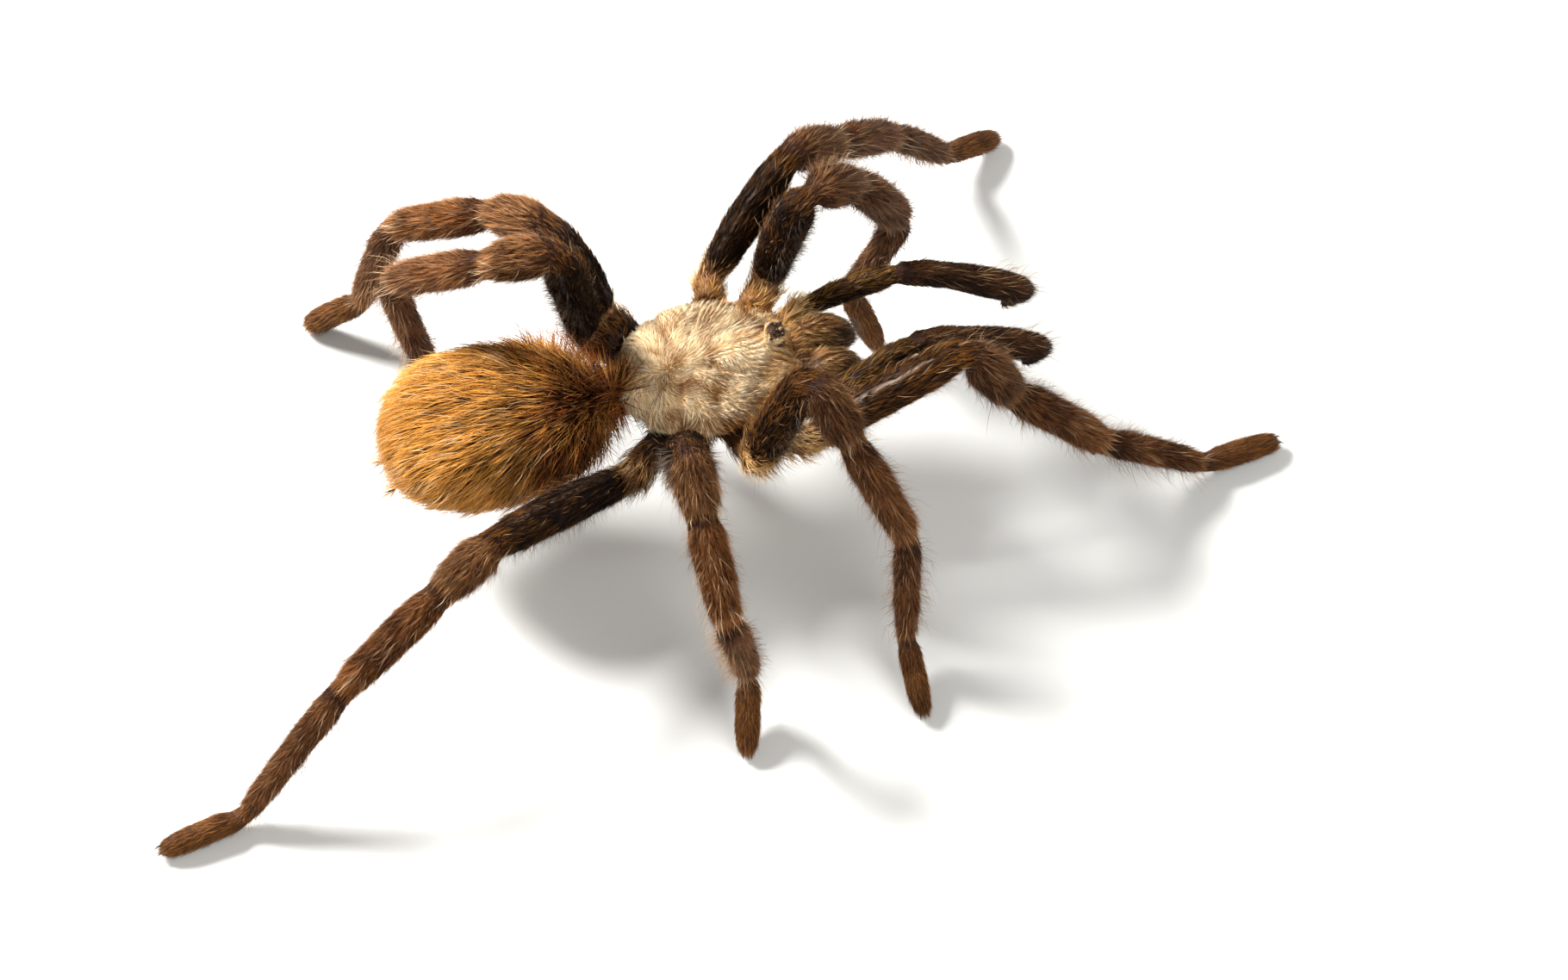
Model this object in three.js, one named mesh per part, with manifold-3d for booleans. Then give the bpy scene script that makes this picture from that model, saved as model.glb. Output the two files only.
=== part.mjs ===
// A mature male brown tarantula at life size, standing on a flat floor with its right foreleg reaching ahead.
// Millimetres, +Z up, the head towards +X and the left side towards +Y. Every piece includes its coat of hair.
import * as THREE from "three";
import { mergeVertices } from "three/addons/utils/BufferGeometryUtils.js";
import Module from "manifold-3d";

const wasm = await Module();
wasm.setup();

const { degToRad, radToDeg } = THREE.MathUtils;

// Driving dimensions
const GAP = 0.3; // clear space between neighbouring pieces
const SOCKET_GAP = 0.05; // clear space round an eye in its socket
const HIP_HEIGHT = 14.9;
const BODY_PITCH = 4; // degrees, nose up
const CARAPACE = { length: 17, width: 15, underside: 0.5, rim: 0.7, dome: 2.3 };
const SQUARENESS = { front: 2.7, rear: 2.05 }; // of the carapace's outline, where 2 is an ellipse
const CARAPACE_ROLL = -5; // degrees, its left side down
const CAPUT = { x: 4.6, length: 3.4, width: 3.2, height: 1.1, narrowing: 0.27 };
const FOVEA = { x: -2.6, length: 1.2, width: 1.8, depth: 0.5 };
const TUBERCLE = { x: 6.6, z: 4.05, length: 2.3, width: 2.4, height: 1.7 };
const ABDOMEN = { x: -19.3, y: -0.9, z: 14.9, length: 21.8, width: 15.5, height: 14, yaw: 3, pitch: -4, egg: 1.2 };
const ABDOMEN_SQUARENESS = 2.2;
const BRISTLES = { height: 1.2, from: 0.0, to: 0.28 }; // the stiff hair that stands up on the abdomen's front
const SPINNERET = { length: 2.4, radius: 0.75, tip: 0.34, at: -0.38, spread: 1.2, drop: 4.1, turn: 12, pitch: 30 };
const STERNUM = { x: -0.6, z: -2, length: 14, width: 11.6, height: 4.8 };
const PEDICEL = { start: -5, end: -12, radius: 1.5, z: -0.6 };
const COXA = { start: 0.4, drop: 1.4, radius: 1.85, inner: 1.1 }; // inner: how much thicker it is at its root
const MAXILLA = { start: 0.5, drop: 1.3, radius: 1.5, inner: 1.15 };
const LABIUM = { x: 6.8, z: -2.9, length: 2.6, width: 2.8, height: 2 };
const CHELICERA = { x: 10.9, y: 1.85, z: -0.35, length: 6.4, width: 3.3, height: 5.4, back: 8.95, droop: 0.09 };
const FANG = { x: 12.75, z: -1.75, bend: 2.3, radius: 0.6, tip: 0.25, sweep: 105, lean: 6 };
const LIMB_SIDES = 8;
const FOOT_CAP = 0.5; // how far a foot's pad reaches past its last centre point
const SOLE_DEPTH = 0.3; // how much of the pad's round the floor flattens to a sole
const SPUR = { length: 1.9, radius: 0.5, tip: 0.3, root: 1.3, at: 0.86, lean: 52, spread: 26 };

// Segments of a walking leg, from the hip out: lengths by leg pair, and radii with the coat.
const SEGMENTS = ["femur", "patella", "tibia", "metatarsus", "tarsus"];
const LEG_LENGTHS = {
  1: [16.6, 6.9, 11.7, 11.2, 8.0],
  2: [13.8, 7.0, 11.4, 11.3, 7.4],
  3: [12.2, 6.0, 10.1, 12.5, 7.5],
  4: [15.5, 6.3, 12.3, 15.8, 8.4],
};
const LEG_SCALE = { 1: 1.0, 2: 0.97, 3: 1.03, 4: 1.0 };
const JOINT_RADII = [1.65, 2.15, 2.0, 1.8, 1.4, 1.2];
// How much wider than its two ends a segment swells at even steps along it
const SWELLING = {
  femur: [1.18, 1.18, 1.08],
  patella: [1.12, 1.12],
  tibia: [1.07, 1.07],
  metatarsus: [0.98, 1.02],
  tarsus: [1.06, 1.14],
};
const ARCH = { femur: 0.45, patella: 0.3, tibia: 0.15, metatarsus: 0.2, tarsus: 0.1 };
const DEPTH = 1.08; // a limb is this much deeper than it is wide

// Pose of each leg: where its femur starts in the body's frame, the heading of each segment in degrees left of
// straight ahead, and its slope in degrees above level. A slope past -90 tucks the segment back under the one
// before. The tarsus slopes down to the floor.
const LEG_POSES = {
  left_1: { hip: [7.4, 8.4, 0], yaw: [-33, 28, 22, 4, -42], pitch: [77, -34, -63, -116] },
  left_2: { hip: [2.4, 9.9, 0], yaw: [31, 30, 37, 26, 26], pitch: [45, -32, -45, -55] },
  left_3: { hip: [-7.5, 9.3, -1.4], yaw: [138, 143, 157, 173, 162], pitch: [62, -16, -27, -74] },
  left_4: { hip: [-9.7, 6.4, 0.5], yaw: [190, 180, 147, 165, 153], pitch: [80, 6, -40, -102] },
  right_1: { hip: [7, -9, 0], yaw: [9, -25, -14, -4, 10], pitch: [21, -53, -43, -33] },
  right_2: { hip: [2.6, -9.8, 0], yaw: [-2, -63, -53, -103, -88], pitch: [70, -38, -54, -68] },
  right_3: { hip: [-4.2, -9.7, 0], yaw: [-95, -91, -85, 36, -104], pitch: [70, -25, -39, -78] },
  right_4: { hip: [-8.8, -8.6, 0], yaw: [-155, -151, -152, -156, -169], pitch: [14, -13, -20, -44] },
};

// The two palps: femur, patella and tibia, with the short tarsus folded under the tibia's end.
const PALP_LENGTHS = [9.5, 5.3, 7.6, 2.4];
const PALP_RADII = [1.3, 1.5, 1.6, 1.65, 0.9];
const PALP_SWELLING = [
  [1.1, 1.08],
  [1.05],
  [1.08, 1.1],
  [],
];
const PALP_POSES = {
  left: { hip: [9.9, 5.2, -0.8], yaw: [-5, -4, -2, -2], pitch: [25, -17, -33, -128] },
  right: { hip: [9.9, -5.2, -0.8], yaw: [13, 4, 0, 0], pitch: [27, -18, -28, -120] },
};

// Eyes on the tubercle: name, place ahead of and beside its centre, radius
const EYES = [
  ["eye_front_inner", 0.27, 0.34, 0.21],
  ["eye_front_outer", 0.74, 0.68, 0.22],
  ["eye_rear_inner", -0.12, 0.6, 0.14],
  ["eye_rear_outer", -0.46, 0.92, 0.19],
];

const MATERIALS = {
  carapace: new THREE.MeshStandardMaterial({ color: 0xb08a58, roughness: 0.8 }),
  underbody: new THREE.MeshStandardMaterial({ color: 0x4a3424, roughness: 0.85 }),
  abdomen: new THREE.MeshStandardMaterial({ color: 0x8a5a2a, roughness: 0.8 }),
  chelicera: new THREE.MeshStandardMaterial({ color: 0x4b3526, roughness: 0.75 }),
  fang: new THREE.MeshStandardMaterial({ color: 0x140e0c, roughness: 0.25 }),
  eye: new THREE.MeshStandardMaterial({ color: 0x0c0a0a, roughness: 0.1 }),
  femur: new THREE.MeshStandardMaterial({ color: 0x33241b, roughness: 0.8 }),
  leg: new THREE.MeshStandardMaterial({ color: 0x6d4527, roughness: 0.8 }),
  foot: new THREE.MeshStandardMaterial({ color: 0x7a4c28, roughness: 0.85 }),
};

// Solids and cuts

function toSolid(geometry) {
  const bare = geometry.clone();
  bare.deleteAttribute("normal");
  bare.deleteAttribute("uv");
  const merged = mergeVertices(bare, 1e-4);
  const vertProperties = new Float32Array(merged.attributes.position.array);
  const triVerts = new Uint32Array(merged.index.array);
  return new wasm.Manifold(new wasm.Mesh({ numProp: 3, vertProperties, triVerts }));
}

function toGeometry(solid) {
  const { numProp, numVert, vertProperties, triVerts } = solid.getMesh();
  const positions = new Float32Array(numVert * 3);
  for (let i = 0; i < numVert; i++) {
    positions.set(vertProperties.subarray(i * numProp, i * numProp + 3), i * 3);
  }
  const geometry = new THREE.BufferGeometry();
  geometry.setAttribute("position", new THREE.BufferAttribute(positions, 3));
  geometry.setIndex(new THREE.BufferAttribute(triVerts, 1));
  return geometry;
}

function join(geometries) {
  const solids = geometries.map(toSolid);
  return toGeometry(solids.reduce((whole, piece) => whole.add(piece)));
}

function cut(geometry, tools) {
  const solids = tools.map(toSolid);
  return toGeometry(solids.reduce((whole, tool) => whole.subtract(tool), toSolid(geometry)));
}

// Keeps the side of a plane that its normal points to. Point and normal are in the geometry's own frame.
function trim(geometry, point, normal) {
  const away = normal.clone().normalize();
  return toGeometry(toSolid(geometry).trimByPlane(away.toArray(), away.dot(point)));
}

// The same cut for a placed mesh, with the point and normal in the frame of the whole part.
function trimPlaced(mesh, point, normal) {
  mesh.updateWorldMatrix(true, false);
  const turn = mesh.getWorldQuaternion(new THREE.Quaternion()).invert();
  mesh.geometry = trim(mesh.geometry, mesh.worldToLocal(point.clone()), normal.clone().applyQuaternion(turn));
}

function reshape(geometry, move) {
  const positions = geometry.attributes.position;
  const vertex = new THREE.Vector3();
  for (let i = 0; i < positions.count; i++) {
    vertex.fromBufferAttribute(positions, i);
    move(vertex);
    positions.setXYZ(i, vertex.x, vertex.y, vertex.z);
  }
  return geometry;
}

function ellipsoid({ x = 0, y = 0, z = 0, length, width, height }, around = 16, down = 10) {
  const ball = new THREE.SphereGeometry(0.5, around, down).rotateX(Math.PI / 2);
  return ball.scale(length, width, height).translate(x, y, z);
}

// A limb segment along +X from 0 to its length, as a turned shape: a round cap at each joint, and a girth that
// runs from one joint radius to the next with a swelling. It arches up a little and is deeper than wide.
function segmentGeometry({ length, from, to, swelling, arch, endCap = to, sides = LIMB_SIDES }) {
  const profile = [new THREE.Vector2(0, -from)];
  profile.push(new THREE.Vector2(from * Math.SQRT1_2, -from * Math.SQRT1_2));
  const stations = [1, ...swelling, 1];
  stations.forEach((swell, i) => {
    const share = i / (stations.length - 1);
    profile.push(new THREE.Vector2(THREE.MathUtils.lerp(from, to, share) * swell, share * length));
  });
  profile.push(new THREE.Vector2(to * Math.SQRT1_2, length + endCap * Math.SQRT1_2));
  profile.push(new THREE.Vector2(0, length + endCap));
  const turned = new THREE.LatheGeometry(profile, sides).rotateZ(-Math.PI / 2);
  return reshape(turned, (v) => {
    const share = THREE.MathUtils.clamp(v.x / length, 0, 1);
    v.z = v.z * DEPTH + arch * 4 * share * (1 - share);
  });
}

function heading(yaw, pitch) {
  const level = Math.cos(degToRad(pitch));
  const x = level * Math.cos(degToRad(yaw));
  const y = level * Math.sin(degToRad(yaw));
  return new THREE.Vector3(x, y, Math.sin(degToRad(pitch)));
}

function aim(object, start, yaw, pitch) {
  object.position.copy(start);
  object.rotation.set(0, degToRad(-pitch), degToRad(yaw), "ZYX");
  return object;
}

// The whole part, and the body's own frame in it

const tarantula = new THREE.Group();
const body = new THREE.Group();
body.position.z = HIP_HEIGHT;
body.rotation.y = degToRad(-BODY_PITCH);
tarantula.add(body);
tarantula.updateMatrixWorld(true);

function hipPlace(local) {
  return body.localToWorld(new THREE.Vector3(...local));
}

function addPiece(parent, name, geometry, material) {
  const mesh = new THREE.Mesh(geometry, material);
  mesh.name = name;
  parent.add(mesh);
  return mesh;
}

// Carapace: a rounded shield with a raised head region and a pit behind it

function carapaceGeometry(grow) {
  const half = CARAPACE.length / 2 + grow;
  const side = CARAPACE.width / 2 + grow;
  const shell = new THREE.SphereGeometry(1, 20, 9).rotateX(Math.PI / 2);
  const shaped = reshape(shell, (v) => {
    const spread = Math.hypot(v.x, v.y);
    const angle = Math.atan2(v.y, v.x);
    const ahead = THREE.MathUtils.smoothstep(Math.cos(angle), -0.4, 0.4);
    const power = THREE.MathUtils.lerp(SQUARENESS.rear, SQUARENESS.front, ahead);
    const across = Math.abs(Math.cos(angle) / half) ** power + Math.abs(Math.sin(angle) / side) ** power;
    const reach = spread / across ** (1 / power);
    const x = reach * Math.cos(angle);
    const narrow = 1 - CAPUT.narrowing * THREE.MathUtils.smoothstep(x, 0, half);
    const y = reach * Math.sin(angle) * narrow;
    const caput = CAPUT.height * Math.exp(-(((x - CAPUT.x) / CAPUT.length) ** 2) - (y / CAPUT.width) ** 2);
    const fovea = FOVEA.depth * Math.exp(-(((x - FOVEA.x) / FOVEA.length) ** 2) - (y / FOVEA.width) ** 2);
    const height = Math.max(v.z, 0);
    const top = CARAPACE.underside + CARAPACE.rim + CARAPACE.dome * height + (caput - fovea) * Math.sqrt(height);
    const onTop = v.z > -1e-6;
    v.set(x, y, onTop ? top + grow : CARAPACE.underside - grow);
  });
  return shaped.rotateX(degToRad(CARAPACE_ROLL));
}

function eyePlace(ahead, beside) {
  const flat = 1 - (2 * ahead / TUBERCLE.length) ** 2 - (2 * beside / TUBERCLE.width) ** 2;
  const rise = (TUBERCLE.height / 2) * Math.sqrt(Math.max(flat, 0.05));
  const place = new THREE.Vector3(TUBERCLE.x + ahead, beside, TUBERCLE.z + rise);
  return place.applyAxisAngle(new THREE.Vector3(1, 0, 0), degToRad(CARAPACE_ROLL));
}

function addCarapaceAndEyes() {
  const sockets = [];
  for (const [name, ahead, beside, radius] of EYES) {
    for (const [side, sign] of [["left", 1], ["right", -1]]) {
      const place = eyePlace(ahead, sign * beside);
      const eye = addPiece(body, `${name}_${side}`, new THREE.SphereGeometry(radius, 6, 4), MATERIALS.eye);
      eye.position.copy(place);
      const socket = new THREE.SphereGeometry(radius + SOCKET_GAP, 6, 4);
      sockets.push(socket.translate(place.x, place.y, place.z));
    }
  }
  const mound = ellipsoid(TUBERCLE, 10, 6).rotateX(degToRad(CARAPACE_ROLL));
  const shield = join([carapaceGeometry(0), mound]);
  addPiece(body, "carapace", cut(shield, sockets), MATERIALS.carapace);
}

// Abdomen: an egg, widest behind its middle, with two spinnerets under its end

function abdomenGeometry(grow) {
  const steps = 10;
  const profile = [];
  for (let i = 0; i <= steps; i++) {
    const share = (1 - Math.cos((Math.PI * i) / steps)) / 2;
    const place = Math.abs(2 * share ** ABDOMEN.egg - 1);
    const radius = (1 - place ** ABDOMEN_SQUARENESS) ** (1 / ABDOMEN_SQUARENESS);
    profile.push(new THREE.Vector2(radius, share - 0.5));
  }
  const egg = new THREE.LatheGeometry(profile, 20).rotateZ(Math.PI / 2);
  egg.scale(ABDOMEN.length + 2 * grow, ABDOMEN.width / 2 + grow, ABDOMEN.height / 2 + grow);
  raiseBristles(egg);
  return egg;
}

// The egg's front half swells outwards, on its top and its sides.
function raiseBristles(geometry) {
  const { smoothstep } = THREE.MathUtils;
  const positions = geometry.attributes.position;
  for (let i = 0; i < positions.count; i++) {
    const [x, y, z] = [positions.getX(i), positions.getY(i), positions.getZ(i)];
    const out = Math.hypot(y, z);
    if (out < 0.1) continue;
    const ahead = smoothstep(x / ABDOMEN.length, BRISTLES.from, BRISTLES.to);
    const above = smoothstep(z / out, -0.6, 0.3);
    const spread = 1 + (BRISTLES.height * ahead * above * Math.min(out / 3, 1)) / out;
    positions.setXYZ(i, x, y * spread, z * spread);
  }
}

function spinneret(sign) {
  const { length, radius, tip, at, spread, drop, turn, pitch } = SPINNERET;
  const finger = new THREE.CylinderGeometry(tip, radius, length, 8).rotateZ(Math.PI / 2);
  finger.translate(-length / 2, 0, 0).rotateZ(degToRad(-sign * turn)).rotateY(degToRad(-pitch));
  return finger.translate(at * ABDOMEN.length, sign * spread, -drop);
}

function placeAbdomen(object) {
  const { x, y, z, yaw, pitch } = ABDOMEN;
  return aim(object, new THREE.Vector3(x, y, z), yaw, pitch);
}

function addAbdomen() {
  const geometry = join([abdomenGeometry(0), spinneret(1), spinneret(-1)]);
  placeAbdomen(addPiece(tarantula, "abdomen", geometry, MATERIALS.abdomen));
}

// Chelicerae with a fang folded into a groove under each

function fangGeometry(sign, grow) {
  const steps = 5;
  const cone = new THREE.CylinderGeometry(FANG.tip + grow, FANG.radius + grow, 1, 8, steps).translate(0, 0.5, 0);
  const curved = reshape(cone, (v) => {
    const turn = degToRad(FANG.sweep) * v.y;
    const out = FANG.bend - v.x;
    v.set(-FANG.bend + out * Math.cos(turn), -v.z, -out * Math.sin(turn));
  });
  const lean = degToRad(FANG.lean);
  return curved.rotateX(sign * lean).translate(FANG.x, sign * CHELICERA.y, FANG.z);
}

function addChelicera(side, sign) {
  const { x, y, z, length, width, height, back, droop } = CHELICERA;
  const lobe = reshape(ellipsoid({ length, width, height }, 12, 8), (v) => {
    v.z -= droop * Math.max(v.x, 0) ** 2;
  });
  const placed = lobe.translate(x, sign * y, z);
  const flatBack = trim(placed, new THREE.Vector3(back, 0, 0), new THREE.Vector3(1, 0, 0));
  const grooved = cut(flatBack, [fangGeometry(sign, GAP)]);
  addPiece(body, `chelicera_${side}`, grooved, MATERIALS.chelicera);
  addPiece(body, `fang_${side}`, fangGeometry(sign, 0), MATERIALS.fang);
}

// Limbs: every joint is a thin cut that halves the bend between the two segments

function halfwayNormal(before, after) {
  return before.clone().add(after).normalize();
}

function trimStart(mesh, joint, before, after) {
  const normal = halfwayNormal(before, after);
  trimPlaced(mesh, joint.clone().addScaledVector(normal, GAP / 2), normal);
}

function trimEnd(mesh, joint, before, after) {
  const normal = halfwayNormal(before, after).negate();
  trimPlaced(mesh, joint.clone().addScaledVector(normal, GAP / 2), normal);
}

// How steeply the last segment slopes down, in radians, to press the pad at its end SOLE_DEPTH into the floor.
// How far the pad hangs below its last centre depends on that slope, so the two are settled in turn.
function footSlope(ankleHeight, length, padRadius) {
  let slope = 0;
  for (let i = 0; i < 8; i++) {
    const hang = Math.hypot(FOOT_CAP * Math.sin(slope), padRadius * DEPTH * Math.cos(slope));
    slope = Math.asin((ankleHeight - hang + SOLE_DEPTH) / length);
  }
  return slope;
}

// The two blunt spurs under the far end of a male's first tibia
function tibiaSpurs(length) {
  return [1, -1].map((sign) => {
    const spur = new THREE.CylinderGeometry(SPUR.tip, SPUR.radius, SPUR.length, 8);
    spur.translate(0, SPUR.length / 2 + SPUR.root, 0).rotateX(-Math.PI / 2);
    spur.rotateY(degToRad(-SPUR.lean)).rotateX(degToRad(sign * SPUR.spread));
    return spur.translate(length * SPUR.at, 0, 0);
  });
}

function coxaDirection(hip, start, drop) {
  const inner = hipPlace([hip[0] * start, hip[1] * start, hip[2] - drop]);
  return hipPlace(hip).sub(inner);
}

function addLeg(side, pair) {
  const { hip, yaw, pitch } = LEG_POSES[`${side}_${pair}`];
  const scale = LEG_SCALE[pair];
  const joint = hipPlace(hip);
  let before = coxaDirection(hip, COXA.start, COXA.drop).normalize();
  const meshes = [];
  SEGMENTS.forEach((segment, i) => {
    const isFoot = segment === "tarsus";
    const full = LEG_LENGTHS[pair][i];
    const length = isFoot ? full - FOOT_CAP : full;
    const slope = isFoot ? -radToDeg(footSlope(joint.z, length, JOINT_RADII[i + 1] * scale)) : pitch[i];
    let geometry = segmentGeometry({
      length,
      from: JOINT_RADII[i] * scale,
      to: JOINT_RADII[i + 1] * scale,
      swelling: SWELLING[segment],
      arch: ARCH[segment],
      endCap: isFoot ? FOOT_CAP : undefined,
    });
    if (segment === "tibia" && pair === 1) {
      geometry = join([geometry, ...tibiaSpurs(length)]);
    }
    const material = segment === "femur" ? MATERIALS.femur : isFoot ? MATERIALS.foot : MATERIALS.leg;
    const mesh = addPiece(tarantula, `leg${pair}_${side}_${segment}`, geometry, material);
    aim(mesh, joint, yaw[i], slope);
    const direction = heading(yaw[i], slope);
    if (meshes.length) trimEnd(meshes.at(-1), joint, before, direction);
    trimStart(mesh, joint, before, direction);
    if (isFoot) trimPlaced(mesh, new THREE.Vector3(), new THREE.Vector3(0, 0, 1));
    meshes.push(mesh);
    joint.addScaledVector(direction, length);
    before = direction;
  });
}

function palpPiece(i, joint, yaw, pitch) {
  const geometry = segmentGeometry({
    length: PALP_LENGTHS[i],
    from: PALP_RADII[i],
    to: PALP_RADII[i + 1],
    swelling: PALP_SWELLING[i],
    arch: ARCH[SEGMENTS[i]],
  });
  return aim(new THREE.Mesh(geometry), joint, yaw, pitch);
}

function addPalp(side) {
  const { hip, yaw, pitch } = PALP_POSES[side];
  const joint = hipPlace(hip);
  const coxa = coxaDirection(hip, MAXILLA.start, MAXILLA.drop).normalize();
  const femurHeading = heading(yaw[0], pitch[0]);
  const femur = palpPiece(0, joint, yaw[0], pitch[0]);
  femur.name = `palp_${side}_femur`;
  femur.material = MATERIALS.femur;
  tarantula.add(femur);
  trimStart(femur, joint, coxa, femurHeading);
  joint.addScaledVector(femurHeading, PALP_LENGTHS[0]);
  const knee = joint.clone();
  const outer = [];
  for (const i of [1, 2, 3]) {
    const piece = palpPiece(i, joint, yaw[i], pitch[i]);
    piece.updateMatrix();
    outer.push(piece.geometry.applyMatrix4(piece.matrix));
    joint.addScaledVector(heading(yaw[i], pitch[i]), PALP_LENGTHS[i]);
  }
  const mesh = addPiece(tarantula, `palp_${side}_outer`, join(outer), MATERIALS.leg);
  trimEnd(femur, knee, femurHeading, heading(yaw[1], pitch[1]));
  trimStart(mesh, knee, femurHeading, heading(yaw[1], pitch[1]));
}

// Underbody: the sternum, its labium, the ten coxae round it with their trochanters, and the narrow waist

function coxaGeometry(hip, { start, drop, radius, inner: rootFactor }) {
  const inner = new THREE.Vector3(hip[0] * start, hip[1] * start, hip[2] - drop);
  const outward = new THREE.Vector3(...hip).sub(inner);
  const geometry = segmentGeometry({
    length: outward.length(),
    from: radius * rootFactor,
    to: radius,
    swelling: [],
    arch: 0,
    sides: 6,
  });
  const level = Math.hypot(outward.x, outward.y);
  geometry.rotateY(-Math.atan2(outward.z, level)).rotateZ(Math.atan2(outward.y, outward.x));
  return geometry.translate(inner.x, inner.y, inner.z);
}

function addUnderbody() {
  const waist = new THREE.CylinderGeometry(PEDICEL.radius, PEDICEL.radius, PEDICEL.start - PEDICEL.end, 8);
  waist.rotateZ(Math.PI / 2).translate((PEDICEL.start + PEDICEL.end) / 2, 0, PEDICEL.z);
  const pieces = [ellipsoid(STERNUM, 10, 6), ellipsoid(LABIUM, 8, 5), waist];
  const limbs = Object.values(LEG_POSES).map((pose) => ({ ...pose, shape: COXA }));
  limbs.push(...Object.values(PALP_POSES).map((pose) => ({ ...pose, shape: MAXILLA })));
  for (const { hip, shape, yaw, pitch } of limbs) {
    const coxa = addPiece(body, "", coxaGeometry(hip, shape));
    const outward = coxaDirection(hip, shape.start, shape.drop).normalize();
    trimEnd(coxa, hipPlace(hip), outward, heading(yaw[0], pitch[0]));
    body.remove(coxa);
    pieces.push(coxa.geometry);
  }
  const keepOut = [carapaceGeometry(GAP)];
  const abdomen = placeAbdomen(new THREE.Object3D());
  abdomen.updateMatrix();
  const toBody = body.matrixWorld.clone().invert().multiply(abdomen.matrix);
  keepOut.push(abdomenGeometry(GAP).applyMatrix4(toBody));
  const faceWidth = 2 * (CHELICERA.y + CHELICERA.width / 2 + GAP);
  const face = new THREE.BoxGeometry(CHELICERA.length, faceWidth, 2 * CARAPACE.width);
  keepOut.push(face.translate(CHELICERA.back - GAP + CHELICERA.length / 2, 0, 0));
  addPiece(body, "sternum_and_coxae", cut(join(pieces), keepOut), MATERIALS.underbody);
}

addCarapaceAndEyes();
addAbdomen();
addUnderbody();
for (const [side, sign] of [["left", 1], ["right", -1]]) {
  addChelicera(side, sign);
  addPalp(side);
  for (const pair of [1, 2, 3, 4]) addLeg(side, pair);
}

// The part's origin is the middle of its footprint on the floor.
const reach = new THREE.Box3().setFromObject(tarantula, true);
tarantula.children.forEach((child) => {
  child.position.x -= (reach.min.x + reach.max.x) / 2;
  child.position.y -= (reach.min.y + reach.max.y) / 2;
});

export default tarantula;
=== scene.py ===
import math
from collections import namedtuple

import bpy
import numpy as np
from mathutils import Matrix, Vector
from mathutils.bvhtree import BVHTree


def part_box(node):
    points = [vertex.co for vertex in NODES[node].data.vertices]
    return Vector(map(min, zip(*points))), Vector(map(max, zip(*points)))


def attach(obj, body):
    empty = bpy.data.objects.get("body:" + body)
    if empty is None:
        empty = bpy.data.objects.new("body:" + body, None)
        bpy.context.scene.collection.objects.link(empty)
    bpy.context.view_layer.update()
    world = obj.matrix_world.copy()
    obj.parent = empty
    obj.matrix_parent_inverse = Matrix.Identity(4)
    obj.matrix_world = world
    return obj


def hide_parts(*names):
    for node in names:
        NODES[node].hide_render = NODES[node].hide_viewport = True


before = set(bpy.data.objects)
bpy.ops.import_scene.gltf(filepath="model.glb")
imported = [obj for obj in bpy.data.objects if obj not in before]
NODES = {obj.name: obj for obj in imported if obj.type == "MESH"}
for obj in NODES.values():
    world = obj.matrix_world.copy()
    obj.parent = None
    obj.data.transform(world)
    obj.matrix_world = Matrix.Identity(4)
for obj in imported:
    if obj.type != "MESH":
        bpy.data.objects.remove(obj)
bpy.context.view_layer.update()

MM = 0.001  # the script works in millimetres and the objects are in metres
SIDES = ("left", "right")
SEGMENTS = ("femur", "patella", "tibia", "metatarsus", "tarsus")
UNDERBODY = "sternum_and_coxae"
UP = np.array([0.0, 0.0, 1.0])

# Depth of the coat, from the skin out to the solid's surface
DEPTH = {
    "abdomen": 0.75,
    UNDERBODY: 0.4,
    "femur": 0.4,
    "patella": 0.46,
    "tibia": 0.46,
    "metatarsus": 0.38,
    "tarsus": 0.28,
    "carapace": 0.22,
    "chelicera": 0.25,
}

# Camera: where it aims, from the middle of the carapace, and how it looks there
CAMERA_AIM = (6.2, -4.5)
CAMERA_AZIMUTH = -12.65
CAMERA_ELEVATION = 58.65
CAMERA_DISTANCE = 786.6
CAMERA_LENS = 198.0

# density: strands to a square millimetre. length, width: in millimetres. lift, droop: how steeply a strand
# leaves the skin and ends, in degrees. spread: how far it strays from the lie of the hair, in degrees.
# low, high: colours of the darkest and the lightest places. where: a key of WHERE.
# steps: how many straight parts a strand has.
Layer = namedtuple("Layer", "density length width lift droop spread low high where steps")


# Small helpers

def rgb(code):
    """A hex sRGB colour as linear values."""
    values = np.array([int(code[i:i + 2], 16) for i in (1, 3, 5)]) / 255
    return np.where(values <= 0.04045, values / 12.92, ((values + 0.055) / 1.055) ** 2.4)


def unit(vectors):
    return vectors / np.maximum(np.linalg.norm(vectors, axis=-1, keepdims=True), 1e-9)


def dot(a, b):
    return (a * b).sum(-1)


def smooth(x, low, high):
    t = np.clip((x - low) / (high - low), 0, 1)
    return t * t * (3 - 2 * t)


def waves(points, size, seed):
    """A soft random field from about -1 to 1, whose bumps are about size millimetres across."""
    random = np.random.default_rng(seed)
    total = np.zeros(len(points))
    for _ in range(7):
        direction = unit(random.normal(size=3)) * random.uniform(2.2, 4.2) / size
        total += np.sin(points @ direction + random.uniform(0, 2 * math.pi))
    return total / 2.6


def locks(points, grain, width, seed):
    """Ridges along the hair, about width millimetres apart: height and slope, from about -1 to 1."""
    random = np.random.default_rng(seed)
    along, across = grain[:, 0], grain[:, 1] + 0.5 * width * waves(points, 4 * width, seed)
    height = np.zeros(len(points))
    slope = np.zeros(len(points))
    for _ in range(6):
        turn = random.choice((-1, 1))
        phase = turn * across * random.uniform(3.2, 7.5) / width + random.normal() * 0.35 * along / width
        phase += random.uniform(0, 2 * math.pi)
        height += np.sin(phase)
        slope += turn * np.cos(phase)
    return height / 2.4, slope / 2.4


# Meshes as arrays

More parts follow.
